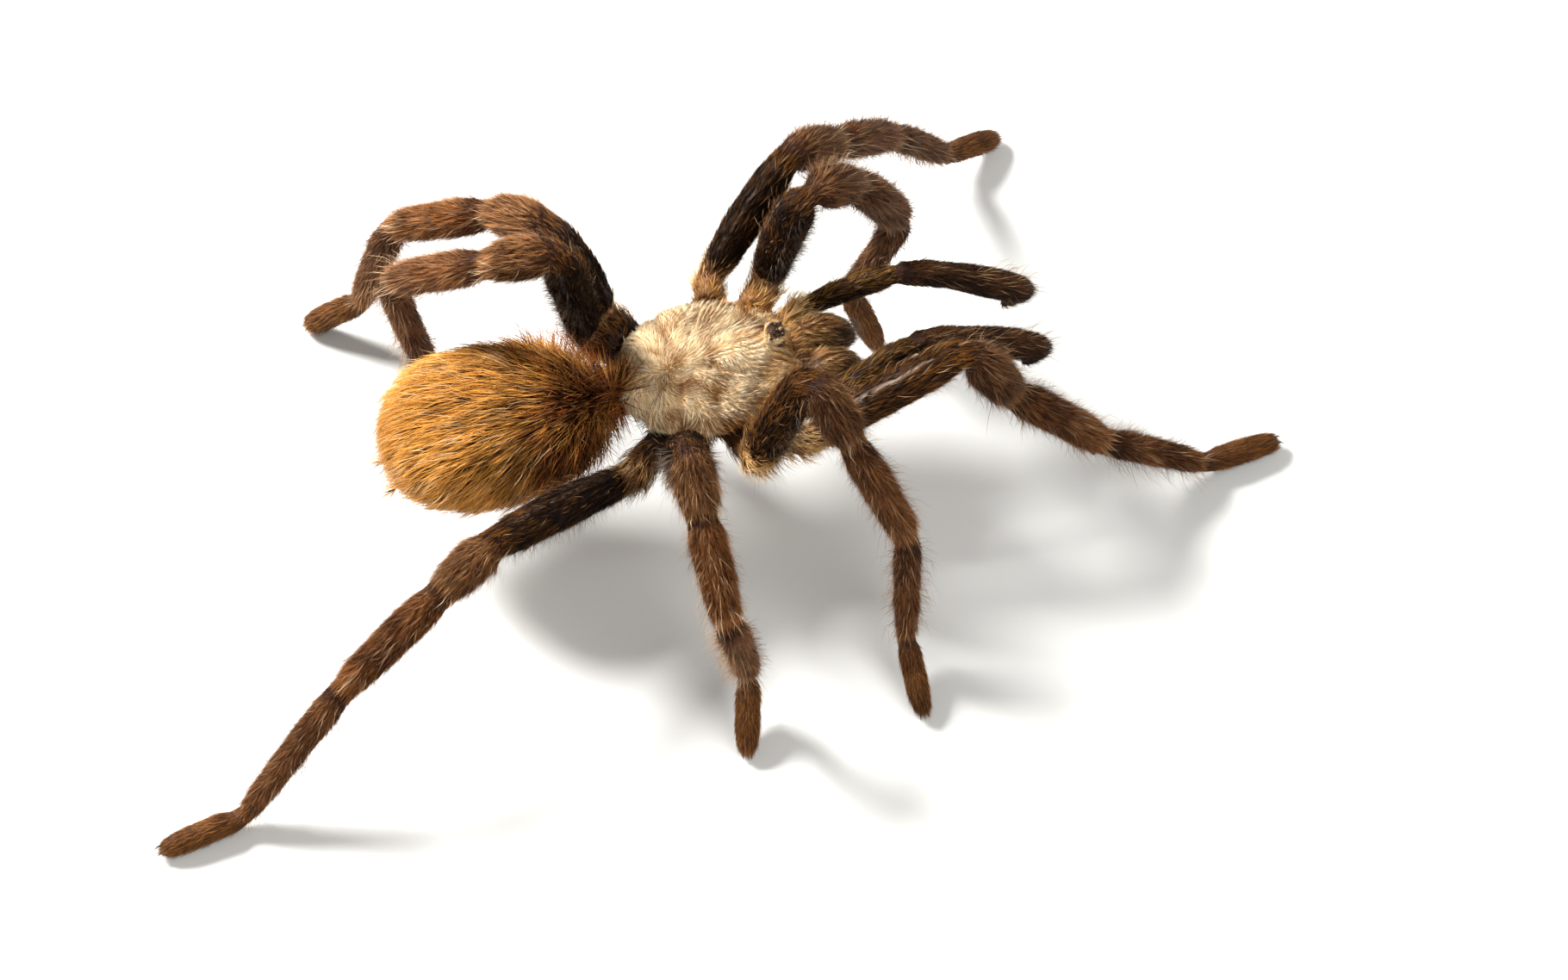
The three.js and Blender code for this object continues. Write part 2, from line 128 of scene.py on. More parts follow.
def mesh_arrays(mesh):
    """A mesh's corner points and triangles."""
    mesh.calc_loop_triangles()
    points = np.empty(len(mesh.vertices) * 3)
    mesh.vertices.foreach_get("co", points)
    triangles = np.empty(len(mesh.loop_triangles) * 3, int)
    mesh.loop_triangles.foreach_get("vertices", triangles)
    return points.reshape(-1, 3), triangles.reshape(-1, 3)


def node_arrays(name):
    """A solid's corner points, in millimetres, and its triangles, with its split corners joined."""
    points, triangles = mesh_arrays(NODES[name].data)
    points /= MM
    _, first, joined = np.unique(np.round(points, 3), axis=0, return_index=True, return_inverse=True)
    triangles = joined.reshape(-1)[triangles]
    sound = (triangles[:, 0] != triangles[:, 1]) & (triangles[:, 1] != triangles[:, 2])
    sound &= triangles[:, 0] != triangles[:, 2]
    return points[first], triangles[sound]


def triangle_normals(points, triangles):
    a, b, c = (points[triangles[:, i]] for i in range(3))
    return np.cross(b - a, c - a)


def point_normals(points, triangles):
    faces = triangle_normals(points, triangles)
    total = np.zeros_like(points)
    for corner in range(3):
        for axis in range(3):
            total[:, axis] += np.bincount(triangles[:, corner], faces[:, axis], len(points))
    return unit(total)


def edge_pairs(triangles):
    pairs = np.vstack([triangles[:, [0, 1]], triangles[:, [1, 2]], triangles[:, [2, 0]]])
    return np.unique(np.sort(pairs, axis=1), axis=0)


def relax(values, pairs, rounds, share=0.5):
    """Moves each point's values towards the mean of its neighbours'."""
    values = values.reshape(len(values), -1).copy()
    ends = np.concatenate([pairs[:, 0], pairs[:, 1]])
    others = np.concatenate([pairs[:, 1], pairs[:, 0]])
    count = np.maximum(np.bincount(ends, minlength=len(values)), 1)
    for _ in range(rounds):
        for axis in range(values.shape[1]):
            mean = np.bincount(ends, values[others, axis], len(values)) / count
            values[:, axis] += share * (mean - values[:, axis])
    return values


def build_mesh(name, points, triangles):
    mesh = bpy.data.meshes.new(name)
    mesh.vertices.add(len(points))
    mesh.vertices.foreach_set("co", (np.asarray(points) * MM).astype(np.float32).ravel())
    mesh.loops.add(triangles.size)
    mesh.loops.foreach_set("vertex_index", triangles.astype(np.int32).ravel())
    mesh.polygons.add(len(triangles))
    mesh.polygons.foreach_set("loop_start", np.arange(0, triangles.size, 3, dtype=np.int32))
    mesh.polygons.foreach_set("use_smooth", np.ones(len(triangles), bool))
    mesh.update(calc_edges=True)
    return mesh


def add_tint(mesh, colours):
    layer = mesh.color_attributes.new("tint", "FLOAT_COLOR", "POINT")
    full = np.ones((len(colours), 4), np.float32)
    full[:, :3] = colours
    layer.data.foreach_set("color", full.ravel())


def add_grain(mesh, grain):
    layer = mesh.attributes.new("grain", "FLOAT_VECTOR", "POINT")
    layer.data.foreach_set("vector", grain.astype(np.float32).ravel())


def new_object(name, data):
    thing = bpy.data.objects.new(name, data)
    bpy.context.scene.collection.objects.link(thing)
    return thing


def add_object(name, mesh, material):
    piece = new_object(name, mesh)
    mesh.materials.append(material)
    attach(piece, "root")
    return piece


def join_shapes(shapes):
    """Several shapes as one, not fused: all their corner points and all their triangles."""
    counts = np.cumsum([0] + [len(points) for points, _ in shapes])
    faces = [triangles + start for (_, triangles), start in zip(shapes, counts)]
    return np.vstack([points for points, _ in shapes]), np.vstack(faces)


def surface_tree(points, triangles):
    return BVHTree.FromPolygons(points.tolist(), triangles.tolist())


def fuse(shapes, voxel, rounds):
    """One closed surface round all the shapes, as corner points and triangles."""
    points, triangles = join_shapes(shapes)
    mesh = build_mesh("fused", points / MM, triangles)
    holder = new_object("fused", mesh)
    remesh = holder.modifiers.new("remesh", "REMESH")
    remesh.mode = "VOXEL"
    remesh.voxel_size = voxel
    result = holder.evaluated_get(bpy.context.evaluated_depsgraph_get()).to_mesh()
    corners, faces = mesh_arrays(result)
    holder.to_mesh_clear()
    bpy.data.objects.remove(holder)
    bpy.data.meshes.remove(mesh)
    return relax(corners, edge_pairs(faces), rounds), faces


# What the solids say: where the joints are, and how each limb runs

CUT_AREA = 1.5  # the least flat area, in square millimetres, that is a cut between two solids
CUT_GAP = (0.1, 0.6)  # how far apart two facing cuts may be
CUT_ASIDE = 1.0  # how far apart their middles may be
NORMAL_STEPS = 100  # how finely two faces' directions are told apart, in steps to 1
LEVEL_STEPS = 20  # how finely their levels are told apart, in steps to a millimetre
TIP_REACH = 0.8  # points this much nearer than the farthest one are still a limb's tip


def patches(triangles):
    """The same number for all the triangles that hang together, corner to corner."""
    marks = np.arange(triangles.max() + 1)
    while True:
        before = marks.copy()
        np.minimum.at(marks, triangles, marks[triangles].min(1)[:, None])
        if (marks == before).all():
            return marks[triangles[:, 0]]


def flat_cuts(name):
    """The flat faces of a solid that are large enough to be a cut: normal, middle and area."""
    points, triangles = node_arrays(name)
    crosses = triangle_normals(points, triangles)
    areas = np.linalg.norm(crosses, axis=1) / 2
    normals = unit(crosses)
    middles = points[triangles].mean(1)
    levels = dot(normals, middles)
    keys = np.round(np.column_stack([normals * NORMAL_STEPS, levels * LEVEL_STEPS])).astype(int)
    _, plane = np.unique(keys, axis=0, return_inverse=True)
    plane = plane.reshape(-1)
    cuts = []
    for number in np.nonzero(np.bincount(plane, areas) > CUT_AREA)[0]:
        level = np.nonzero(plane == number)[0]
        marks = patches(triangles[level])
        for mark in np.unique(marks):
            members = level[marks == mark]
            area = areas[members].sum()
            if area > CUT_AREA:
                middle = (middles[members] * areas[members, None]).sum(0) / area
                cuts.append((normals[members][0], middle, area))
    return cuts


def joint_between(near, far):
    """The middle of the thin gap where two solids face each other."""
    best = None
    for normal, middle, area in flat_cuts(near):
        for other_normal, other_middle, other_area in flat_cuts(far):
            gap = dot(other_middle - middle, normal)
            facing = dot(normal, other_normal) < -0.99 and CUT_GAP[0] < gap < CUT_GAP[1]
            facing &= np.linalg.norm(other_middle - middle) < CUT_ASIDE
            if facing and (best is None or area + other_area > best[0]):
                best = (area + other_area, (middle + other_middle) / 2)
    return best[1]


def far_end(name, start):
    points, _ = node_arrays(name)
    distance = np.linalg.norm(points - start, axis=1)
    return points[distance > distance.max() - TIP_REACH].mean(0)


def limb_joints(names):
    """Every joint of a limb from its root to its tip."""
    joints = [joint_between(UNDERBODY, names[0])]
    for near, far in zip(names, names[1:]):
        joints.append(joint_between(near, far))
    joints.append(far_end(names[-1], joints[-1]))
    return np.array(joints)


LIMBS = {}
for side in SIDES:
    for pair in (1, 2, 3, 4):
        LIMBS[f"leg{pair}_{side}"] = [f"leg{pair}_{side}_{segment}" for segment in SEGMENTS]
    LIMBS[f"palp_{side}"] = [f"palp_{side}_femur", f"palp_{side}_outer"]
JOINTS = {limb: limb_joints(names) for limb, names in LIMBS.items()}
CARAPACE_MIDDLE = np.array(sum(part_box("carapace"), Vector())) / 2 / MM
ABDOMEN_MIDDLE = np.array(sum(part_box("abdomen"), Vector())) / 2 / MM


def node_kind(name):
    """Which row of the coat's tables a solid belongs to."""
    if name.startswith("palp"):
        return "palp_femur" if name.endswith("femur") else "palp_outer"
    if name.startswith("leg"):
        return name.split("_")[-1]
    return "chelicera" if name.startswith("chelicera") else name


def coat_depth(name):
    kind = node_kind(name)
    return DEPTH.get(kind, DEPTH["femur"])


# Skin: tubes inside the limbs, and the body inside its solids, fused to one surface

RING = 20  # how many points a ring of a limb's skin has
STATIONS = (0.05, 0.18, 0.34, 0.5, 0.66, 0.82, 0.95)  # where a segment's rings are, as shares of its length
JOINT_WAIST = 0.85  # a limb's skin narrows to this share of its girth at a joint
WAIST_REACH = 0.09  # how far from a joint it narrows, as a share of the segment
RAY_LENGTH = 6.0
SWELLING = 1.35  # how far a ring's point may stand out, against the ring's middling point
ROOT_SUNK = 1.2  # how far a limb's skin runs on into the body
PALP_SUNK = 1.5  # how far a palp's runs on into its outer part
CLOSING = 0.5  # how much further on the tube's end point lies
SUNK_GIRTH = 0.9  # how wide the tube still is there, against the nearest measured ring


def cross_axes(direction):
    """Two directions across a limb: level sideways, and the one above it."""
    side = np.cross(UP, direction)
    if np.linalg.norm(side) < 0.2:
        side = np.array([0.0, 1.0, 0.0])
    side = unit(side - dot(side, direction) * direction)
    return side, np.cross(direction, side)


def spokes(direction, around):
    """Directions all round a limb and square to it, the first of them level."""
    side, above = cross_axes(direction)
    angles = np.linspace(0, 2 * math.pi, around, endpoint=False)[:, None]
    return np.cos(angles) * side + np.sin(angles) * above


def ring_reach(tree, centre, rays):
    """How far the solid's surface is from the centre along each ray, or None where no ray meets it."""
    hits = [tree.ray_cast(Vector(centre), Vector(ray), RAY_LENGTH)[3] for ray in rays]
    known = [hit for hit in hits if hit is not None]
    if not known:
        return None
    typical = np.median(known)
    return np.array([typical if hit is None else min(hit, SWELLING * typical) for hit in hits])


def limb_rings(limb):
    """Rings of skin points from a limb's root to its tip, measured inside its solids."""
    rings = []
    for name, start, end in zip(LIMBS[limb], JOINTS[limb], JOINTS[limb][1:]):
        if name.endswith("outer"):
            break
        tree = surface_tree(*node_arrays(name))
        rays = spokes(unit(end - start), RING)
        for share in STATIONS:
            centre = start + share * (end - start)
            reach = ring_reach(tree, centre, rays)
            if reach is None:
                continue
            narrow = 1 - (1 - JOINT_WAIST) * math.exp(-(min(share, 1 - share) / WAIST_REACH) ** 2)
            rings.append(centre + rays * ((reach - coat_depth(name)) * narrow)[:, None])
    return rings


def tube(rings, start, end):
    """A closed tube through the rings, with a point at each end."""
    count = len(rings)
    around = len(rings[0])
    points = np.vstack([*rings, start, end])
    faces = []
    for i in range(count - 1):
        for k in range(around):
            a, b = i * around + k, i * around + (k + 1) % around
            faces += [(a, b, b + around), (a, b + around, a + around)]
    last = (count - 1) * around
    for k in range(around):
        following = (k + 1) % around
        faces.append((count * around, following, k))
        faces.append((count * around + 1, last + k, last + following))
    return points, np.array(faces)


def horn(root, tip, bend, thick, thin, around=12, steps=7):
    """A curved cone from root to tip, pushed out by bend halfway along."""
    shares = np.linspace(0, 1, steps)
    centres = root + shares[:, None] * (tip - root) + (4 * shares * (1 - shares))[:, None] * bend
    rings = []
    for share, centre, ahead in zip(shares, centres, np.gradient(centres, axis=0)):
        rings.append(centre + spokes(unit(ahead), around) * (thick + (thin - thick) * share))
    onward = unit(centres[-1] - centres[-2])
    return tube(rings, root, tip + 0.6 * thin * onward)


def limb_tube(limb):
    """A limb's skin, closed inside the body at its root, and a palp's also inside its last solid."""
    rings = limb_rings(limb)
    joints = JOINTS[limb]
    inward = unit(joints[0] - joints[1])
    start = joints[0] + ROOT_SUNK * inward
    rings.insert(0, start + SUNK_GIRTH * (rings[0] - rings[0].mean(0)))
    if limb.startswith("palp"):
        onward = unit(joints[2] - joints[1])
        rings.append(joints[1] + PALP_SUNK * onward + SUNK_GIRTH * (rings[-1] - rings[-1].mean(0)))
        return tube(rings, start + CLOSING * inward, joints[1] + (PALP_SUNK + CLOSING) * onward)
    tip = rings[-1].mean(0)
    end = tip + 0.75 * (joints[-1] - tip)
    rings.append(tip + 0.5 * (end - tip) + 0.8 * (rings[-1] - tip))
    return tube(rings, start + CLOSING * inward, end)


def shrunk(name, depth):
    """A solid moved in by a depth, which is a number or a function of its points."""
    points, triangles = node_arrays(name)
    depths = depth(points)[:, None] if callable(depth) else depth
    return points - depths * point_normals(points, triangles), triangles


def ball(middle, half, around=24):
    """An ellipsoid round a middle, from its three half lengths."""
    down = around // 2
    turn = np.linspace(0, 2 * math.pi, around, endpoint=False)
    rows = [np.column_stack([np.cos(turn) * math.sin(tilt), np.sin(turn) * math.sin(tilt),
                             np.full(around, math.cos(tilt))])
            for tilt in np.linspace(0, math.pi, down + 1)[1:-1]]
    points = np.vstack([*rows, [0, 0, 1], [0, 0, -1]]) * half + middle
    top = (down - 1) * around
    faces = []
    for k in range(around):
        following = (k + 1) % around
        for row in range(down - 2):
            a, b = row * around + k, row * around + following
            faces += [(a, a + around, b + around), (a, b + around, b)]
        faces.append((top, k, following))
        last = (down - 2) * around
        faces.append((top + 1, last + following, last + k))
    return points, np.array(faces)


FACE_MEMBRANE = np.array([1.5, 2.9, 2.3])  # its half lengths
FACE_SUNK = 0.3  # how far its middle lies behind the chelicerae


def face_membrane():
    """The soft skin behind the chelicerae, under the front edge of the carapace."""
    backs = [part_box(f"chelicera_{side}")[0] for side in SIDES]
    tops = [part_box(f"chelicera_{side}")[1] for side in SIDES]
    middle = (np.array(backs).mean(0) + np.array(tops).mean(0)) / 2 / MM
    middle[0] = backs[0].x / MM - FACE_SUNK
    return ball(middle, FACE_MEMBRANE)


SPINNERET_ROOT = np.array([-6.4, 1.1, -4.9])  # from the abdomen's middle, on its left side
SPINNERET_TIP = np.array([-8.5, 1.5, -6.3])
SPINNERET_BEND = np.array([0, 0, -0.15])
WAIST_START = np.array([-5.5, 0, -2.6])  # from the carapace's middle
WAIST_END = np.array([-11.5, 0, -2.9])


def spinnerets():
    shapes = []
    for mirror in (np.array([1, 1, 1]), np.array([1, -1, 1])):
        root = ABDOMEN_MIDDLE + SPINNERET_ROOT * mirror
        tip = ABDOMEN_MIDDLE + SPINNERET_TIP * mirror
        shapes.append(horn(root, tip, SPINNERET_BEND, thick=0.62, thin=0.3))
    return shapes


def waist():
    """The narrow stalk between the carapace and the abdomen."""
    start, end = CARAPACE_MIDDLE + WAIST_START, CARAPACE_MIDDLE + WAIST_END
    return horn(start, end, np.zeros(3), thick=1.9, thin=1.6)


BRISTLES = 1.1  # how much deeper the skin lies under the stiff hair on the abdomen's front


def abdomen_depth(points):
    local = points - ABDOMEN_MIDDLE
    out = np.hypot(local[:, 1], local[:, 2])
    ahead = smooth(local[:, 0], 0, 6.1)
    above = smooth(local[:, 2] / np.maximum(out, 0.1), -0.6, 0.3)
    return DEPTH["abdomen"] + BRISTLES * ahead * above * np.minimum(out / 3, 1)


SKIN_NODES = [name for limb in LIMBS.values() for name in limb] + ["abdomen", UNDERBODY]
SKIN_VOXEL = 0.32  # how fine the fused skin is


def skin_shape():
    shapes = [limb_tube(limb) for limb in LIMBS] + [face_membrane(), waist()] + spinnerets()
    shapes += [shrunk(f"palp_{side}_outer", coat_depth("palp_outer")) for side in SIDES]
    shapes += [shrunk("abdomen", abdomen_depth), shrunk(UNDERBODY, DEPTH[UNDERBODY])]
    return fuse(shapes, SKIN_VOXEL, rounds=5)


def nearest_nodes(points, names):
    """For each point, the index in names of the solid that it is nearest to."""
    solids = [node_arrays(name) for name in names]
    owner = np.repeat(np.arange(len(names)), [len(triangles) for _, triangles in solids])
    tree = surface_tree(*join_shapes(solids))
    return np.array([owner[tree.find_nearest(Vector(p))[2]] for p in points])


# Materials

def new_material(name):
    material = bpy.data.materials.new(name)
    material.use_nodes = True
    nodes = material.node_tree.nodes
    shader = nodes["Principled BSDF"] if "Principled BSDF" in nodes else nodes.new("ShaderNodeBsdfPrincipled")
    return material, nodes, material.node_tree.links, shader


def set_inputs(node, values):
    for key, value in values.items():
        node.inputs[key].default_value = value


def add_noise(nodes, links, scale, attribute=None):
    """Noise in the object's own space, or in that of one of the mesh's attributes."""
    noise = nodes.new("ShaderNodeTexNoise")
    set_inputs(noise, {"Scale": scale})
    place = nodes.new("ShaderNodeAttribute" if attribute else "ShaderNodeTexCoord")
    if attribute:
        place.attribute_name = attribute
    links.new(place.outputs["Vector" if attribute else "Object"], noise.inputs["Vector"])
    return noise


def add_bump(nodes, links, noise, height, shader):
    relief = nodes.new("ShaderNodeBump")
    set_inputs(relief, {"Strength": 0.5, "Distance": height * MM})
    links.new(noise.outputs["Fac"], relief.inputs["Height"])
    links.new(relief.outputs["Normal"], shader.inputs["Normal"])


def tinted(name, roughness, gloss, noise_scale, spread, bump=0, attribute=None):
    """The mesh's own tint, lighter and darker by spread in fine noise; bump is in millimetres."""
    material, nodes, links, shader = new_material(name)
    tint = nodes.new("ShaderNodeAttribute")
    tint.attribute_name = "tint"
    noise = add_noise(nodes, links, noise_scale, attribute)
    set_inputs(noise, {"Detail": 4})
    level = nodes.new("ShaderNodeMapRange")
    set_inputs(level, {"From Min": 0.3, "From Max": 0.7, "To Min": 1 - spread, "To Max": 1 + spread})
    links.new(noise.outputs["Fac"], level.inputs["Value"])
    scale = nodes.new("ShaderNodeVectorMath")
    scale.operation = "SCALE"
    links.new(tint.outputs["Color"], scale.inputs[0])
    links.new(level.outputs["Result"], scale.inputs["Scale"])
    links.new(scale.outputs["Vector"], shader.inputs["Base Color"])
    set_inputs(shader, {"Roughness": roughness, "Specular IOR Level": gloss})
    if bump:
        add_bump(nodes, links, noise, bump, shader)
    return material


def glossy(name, dark, light, roughness, scale):
    """A smooth dark horn or lens, between two colours in soft noise."""
    material, nodes, links, shader = new_material(name)
    noise = add_noise(nodes, links, scale)
    ramp = nodes.new("ShaderNodeValToRGB")
    ramp.color_ramp.elements[0].color = (*rgb(dark), 1)
    ramp.color_ramp.elements[1].color = (*rgb(light), 1)
    ramp.color_ramp.elements[0].position = 0.35
    ramp.color_ramp.elements[1].position = 0.7
    links.new(noise.outputs["Fac"], ramp.inputs["Fac"])
    links.new(ramp.outputs["Color"], shader.inputs["Base Color"])
    set_inputs(shader, {"Roughness": roughness})
    return material


SKIN_MATERIAL = tinted("cuticle", 0.6, 0.1, noise_scale=9, spread=0.6, bump=0.12, attribute="grain")
SHELL_MATERIAL = tinted("shell_plate", 0.6, 0.1, noise_scale=9, spread=0.45, bump=0.12, attribute="grain")
HAIR_MATERIAL = tinted("hair", 0.5, 0.1, noise_scale=900, spread=0.18)
EYE_MATERIAL = glossy("eye_cornea", "#060505", "#1c120c", roughness=0.06, scale=3000)
FANG_MATERIAL = glossy("fang_horn", "#0a0706", "#2a1510", roughness=0.22, scale=1500)
SPUR_MATERIAL = glossy("spur_horn", "#1c100a", "#3a2214", roughness=0.6, scale=1500)


# Where a point of the body lies: the direction that hair grows there, and where it is on the unwrapped skin

# kind: the form. share: how far along it, 0 to 1. up: how much the skin faces up. flow: the lie of the hair.
# uv: the place on the unwrapped skin. grain: millimetres along the hair and across it. turn: the angle round.
# bare: the share of hair that is missing. trim: its length against the rest's. shade: how much darker it is.
# eyes: how many millimetres it is from the eyes.
Place = namedtuple(
    "Place", "kind share up flow uv grain turn bare trim shade eyes", defaults=(0.0, 1.0, 0.0, 9.0))
GIRTH = {"abdomen": 6.5, "carapace": 6.0, "chelicera": 2.0, UNDERBODY: 8.0}  # a form's radius
LIMB_GIRTH = 1.6


FEMUR_LIGHT = {"leg2_right": 0.35, "leg1_right": 0.4, "leg1_left": 0.1}  # golder femora
ROOT_TONE_AND_SHADOW = {"leg4_right": 0.9, "leg4_left": 0.3}  # how much darker a rear leg's root is: a little on both as their own tone, and much more on the right as painted shadow of the body
PAIR_SHADE = {"leg1": 0.2, "leg2": 0.16, "leg3": -0.02, "leg4": 0.04}  # darker patellae, tibiae and metatarsi: partly the pairs' own tone, and on the front pairs partly painted shade
LONG_FEMUR = {"leg2_right": 0.45}  # how much longer the hair of a femur is
STRIPE = 1.6  # where the bare stripe runs along a femur, as an angle round it
STRIPE_WIDTH = 0.08
STRIPE_SHOWS = {"leg1": 0.75}  # how bare the stripe is
FAINT_STRIPE = 0.3  # and on the other legs
# the bare stripe is real, and its pale colour is a painted sheen on the bare cuticle
STRIPE_SHEEN_COLOUR = "#8f7b6b"
MEMBRANE_COLOUR = "#a9785a"
HAIR_BEND = 0.6  # how far the hair turns with the limb near a joint
HAIR_SPLAY = 1.2  # how far the hair at a limb's root turns away from the body


def unwrapped(share, angle):
    """Where the unwrapped skin has each point, from how far along its form and how far round it lies."""
    return np.column_stack([share, angle / (2 * math.pi) + 0.5])


def limb_flow(joints, i, share):
    """The lie of the hair on a limb's segment: along it, bending at the joints, and away from the body."""
    flow = np.tile(unit(joints[i + 1] - joints[i]), (len(share), 1))
    if i + 2 < len(joints):
        after = unit(joints[i + 2] - joints[i + 1])
        flow += after * (smooth(share, 0.8, 1.1) * HAIR_BEND)[:, None]
    if i:
        before = unit(joints[i] - joints[i - 1])
        flow += before * (smooth(1 - share, 0.8, 1.1) * HAIR_BEND)[:, None]
    else:
        outward = unit((joints[0] - CARAPACE_MIDDLE) * np.array([1, 1, 0]))
        flow += outward * (smooth(1 - share, 0.82, 0.97) * HAIR_SPLAY)[:, None]
    return unit(flow)


def femur_marks(limb, share, angle):
    """A leg's femur: its bare stripe, how long its hair is and how dark it is, with painted shadow at the
    root of the right rear leg.
    """
    stripe = np.exp(-((angle - STRIPE) / STRIPE_WIDTH) ** 2)
    stripe *= smooth(share, 0.12, 0.3) * smooth(1 - share, 0.05, 0.2)
    root = smooth(0.25 - share, 0, 0.15)
    return {
        "bare": stripe * STRIPE_SHOWS.get(limb[:4], FAINT_STRIPE),
        "trim": 1 + LONG_FEMUR.get(limb, 0) * (1 + root),
        "shade": ROOT_TONE_AND_SHADOW.get(limb, 0) * root - FEMUR_LIGHT.get(limb, 0),
    }


RING_DARK = 0.5  # how much darker and shorter the hair is in the ring after a joint
CUFF_SHORT = 0.45  # how much shorter it is in the cuff before the next
CUFF_PALE = 0.15


def joint_marks(share, pair_shade, after_joint, before_joint):
    """Any other segment: a dark ring of short hair after a joint, and a paler cuff of it before the next."""
    ring = smooth(0.11 - share, 0, 0.07) if after_joint else 0
    cuff = smooth(share, 0.86, 0.95) if before_joint else 0
    return {
        "trim": 1 - RING_DARK * ring - CUFF_SHORT * cuff,
        "shade": RING_DARK * ring - CUFF_PALE * cuff + pair_shade,
    }


def limb_place(points, normals, name):
    limb = next(key for key, names in LIMBS.items() if name in names)
    count = len(LIMBS[limb])
    i = LIMBS[limb].index(name)
    start, end = JOINTS[limb][i:i + 2]
    direction = unit(end - start)
    along = (points - start) @ direction
    share = np.clip(along / np.linalg.norm(end - start), 0, 1)
    side, above = cross_axes(direction)
    angle = np.arctan2(normals @ above, normals @ side)
    kind = node_kind(name)
    if kind == "femur":
        marks = femur_marks(limb, share, angle)
    else:
        pair_shade = 0 if kind == "tarsus" else PAIR_SHADE.get(limb[:4], 0)
        marks = joint_marks(share, pair_shade, i > 0, i + 1 < count)
    uv = unwrapped((i + share) / count, angle)
    grain = np.column_stack([along, LIMB_GIRTH * angle])
    return Place(kind, share, normals @ above, limb_flow(JOINTS[limb], i, share), uv, grain, angle, **marks)


FALL = 0.55  # how much the hair on the abdomen's flanks falls downwards
HAIR_SOURCE = np.array([10.5, -0.2, 1.5])  # from the abdomen's middle to where its hair spreads out
ABDOMEN_LENGTH = 21.5
SPINNERET_SHORT = 0.7  # how much shorter the hair on the spinnerets is


def on_spinnerets(local):
    mirrored = np.column_stack([local[:, 0], abs(local[:, 1]), local[:, 2]])
    axis = unit(SPINNERET_TIP - SPINNERET_ROOT)
    along = dot(mirrored - SPINNERET_ROOT, axis)
    aside = np.linalg.norm(mirrored - SPINNERET_ROOT - along[:, None] * axis, axis=1)
    return smooth(along, 0.4, 1.2) * smooth(1.4 - aside, 0, 0.5)


def abdomen_place(points, normals):
    local = points - ABDOMEN_MIDDLE
    down = FALL * smooth(0.9 - abs(normals[:, 2]), 0, 0.6)[:, None] * UP
    flow = unit(points - (ABDOMEN_MIDDLE + HAIR_SOURCE)) - down
    share = np.clip(0.5 - local[:, 0] / ABDOMEN_LENGTH, 0, 1)
    angle = np.arctan2(local[:, 2], local[:, 1])
    uv = unwrapped(share, angle)
    grain = np.column_stack([ABDOMEN_LENGTH * share, -GIRTH["abdomen"] * angle])
    trim = 1 - SPINNERET_SHORT * on_spinnerets(local)
    return Place("abdomen", share, normals[:, 2], flow, uv, grain, angle, trim=trim)


REAR_SHADOW = 0.75  # painted shadow of the body on the rearmost coxae
FACE_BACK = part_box("chelicera_left")[0].x / MM  # where the chelicerae grow from the body
FACE_HALF = 3.4  # half the width of the short-haired part there
PLATE_HALF = 8.6  # how far out the carapace covers the underbody
BODY_MIDDLE = np.array([CARAPACE_MIDDLE[0] - 0.5, CARAPACE_MIDDLE[1], 12.5])


def underbody_place(points, normals):
    local = points - BODY_MIDDLE
    reach = np.linalg.norm(local[:, :2], axis=1)
    flow = unit(local * np.array([1, 1, 0.2]))
    turn = np.arctan2(local[:, 1], local[:, 0])
    uv = np.column_stack([turn / (2 * math.pi) + 0.5, np.arctan2(local[:, 2], reach) / math.pi + 0.5])
    grain = np.column_stack([reach, -GIRTH[UNDERBODY] * turn * np.sign(normals[:, 2])])
    hidden = smooth(normals[:, 2], 0, 0.5) * smooth(PLATE_HALF - reach, 0, 0.6)
    face = smooth(points[:, 0], FACE_BACK - 1.0, FACE_BACK) * smooth(FACE_HALF - abs(local[:, 1]), 0, 0.6)
    trim = 1 - 0.65 * face
    # darker near the face, and painted shadow on the rearmost coxae
    shade = 0.5 * face + REAR_SHADOW * smooth(-local[:, 0], 1.5, 5)
    share = np.clip(reach / 11, 0, 1)
    return Place(UNDERBODY, share, normals[:, 2], flow, uv, grain, turn, hidden, trim, shade)


FOVEA = CARAPACE_MIDDLE + np.array([-2.6, 0, 0])
EYES = [name for name in NODES if name.startswith("eye")]
EYE_MIDDLE = np.mean([np.array(corner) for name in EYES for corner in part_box(name)], axis=0) / MM
TUBERCLE = np.array([1.0, 1.15])  # half lengths of the mound of the eyes, along and across
BARE_MOUND = 0.95  # how far out the mound is dark and bare
GROOVES = np.radians([26, 62, 98, 136])  # the grooves that run out from the fovea, left of straight ahead
GROOVE_WIDTH = 0.5
GROOVE_DEPTH = 0.3
WHORL_WIDTH = 1.6  # how far from a groove the hair turns with it


def on_tubercle(points, edge=1.15):
    """Whether each point is on the mound of the eyes, from 0 to 1: edge is how wide the mound counts as."""
    across = np.linalg.norm((points[:, :2] - EYE_MIDDLE[:2]) / TUBERCLE, axis=1)
    return smooth(edge - across, 0, 0.25)


def round_fovea(points):
    """Where points lie from the fovea, how far out and in which direction."""
    local = points - FOVEA
    return local, np.hypot(local[:, 0], local[:, 1]), np.arctan2(local[:, 1], local[:, 0])


def grooves(points, width=GROOVE_WIDTH):
    """How deep in a groove of the carapace each point is, from 0 to 1, and how far to its side."""
    _, reach, turn = round_fovea(points)
    depth = np.zeros(len(points))
    side = np.zeros(len(points))
    for angle in (*GROOVES, *-GROOVES):
        aside = reach * np.sin(turn - angle) / width
        near = (np.cos(turn - angle) > 0) * np.exp(-aside ** 2)
        depth += near
        side += near * aside
    within = smooth(reach, 0.8, 2.4) * smooth(7.8 - reach, 0, 2.5)
    return np.minimum(depth, 1) * within, 2 * side * within


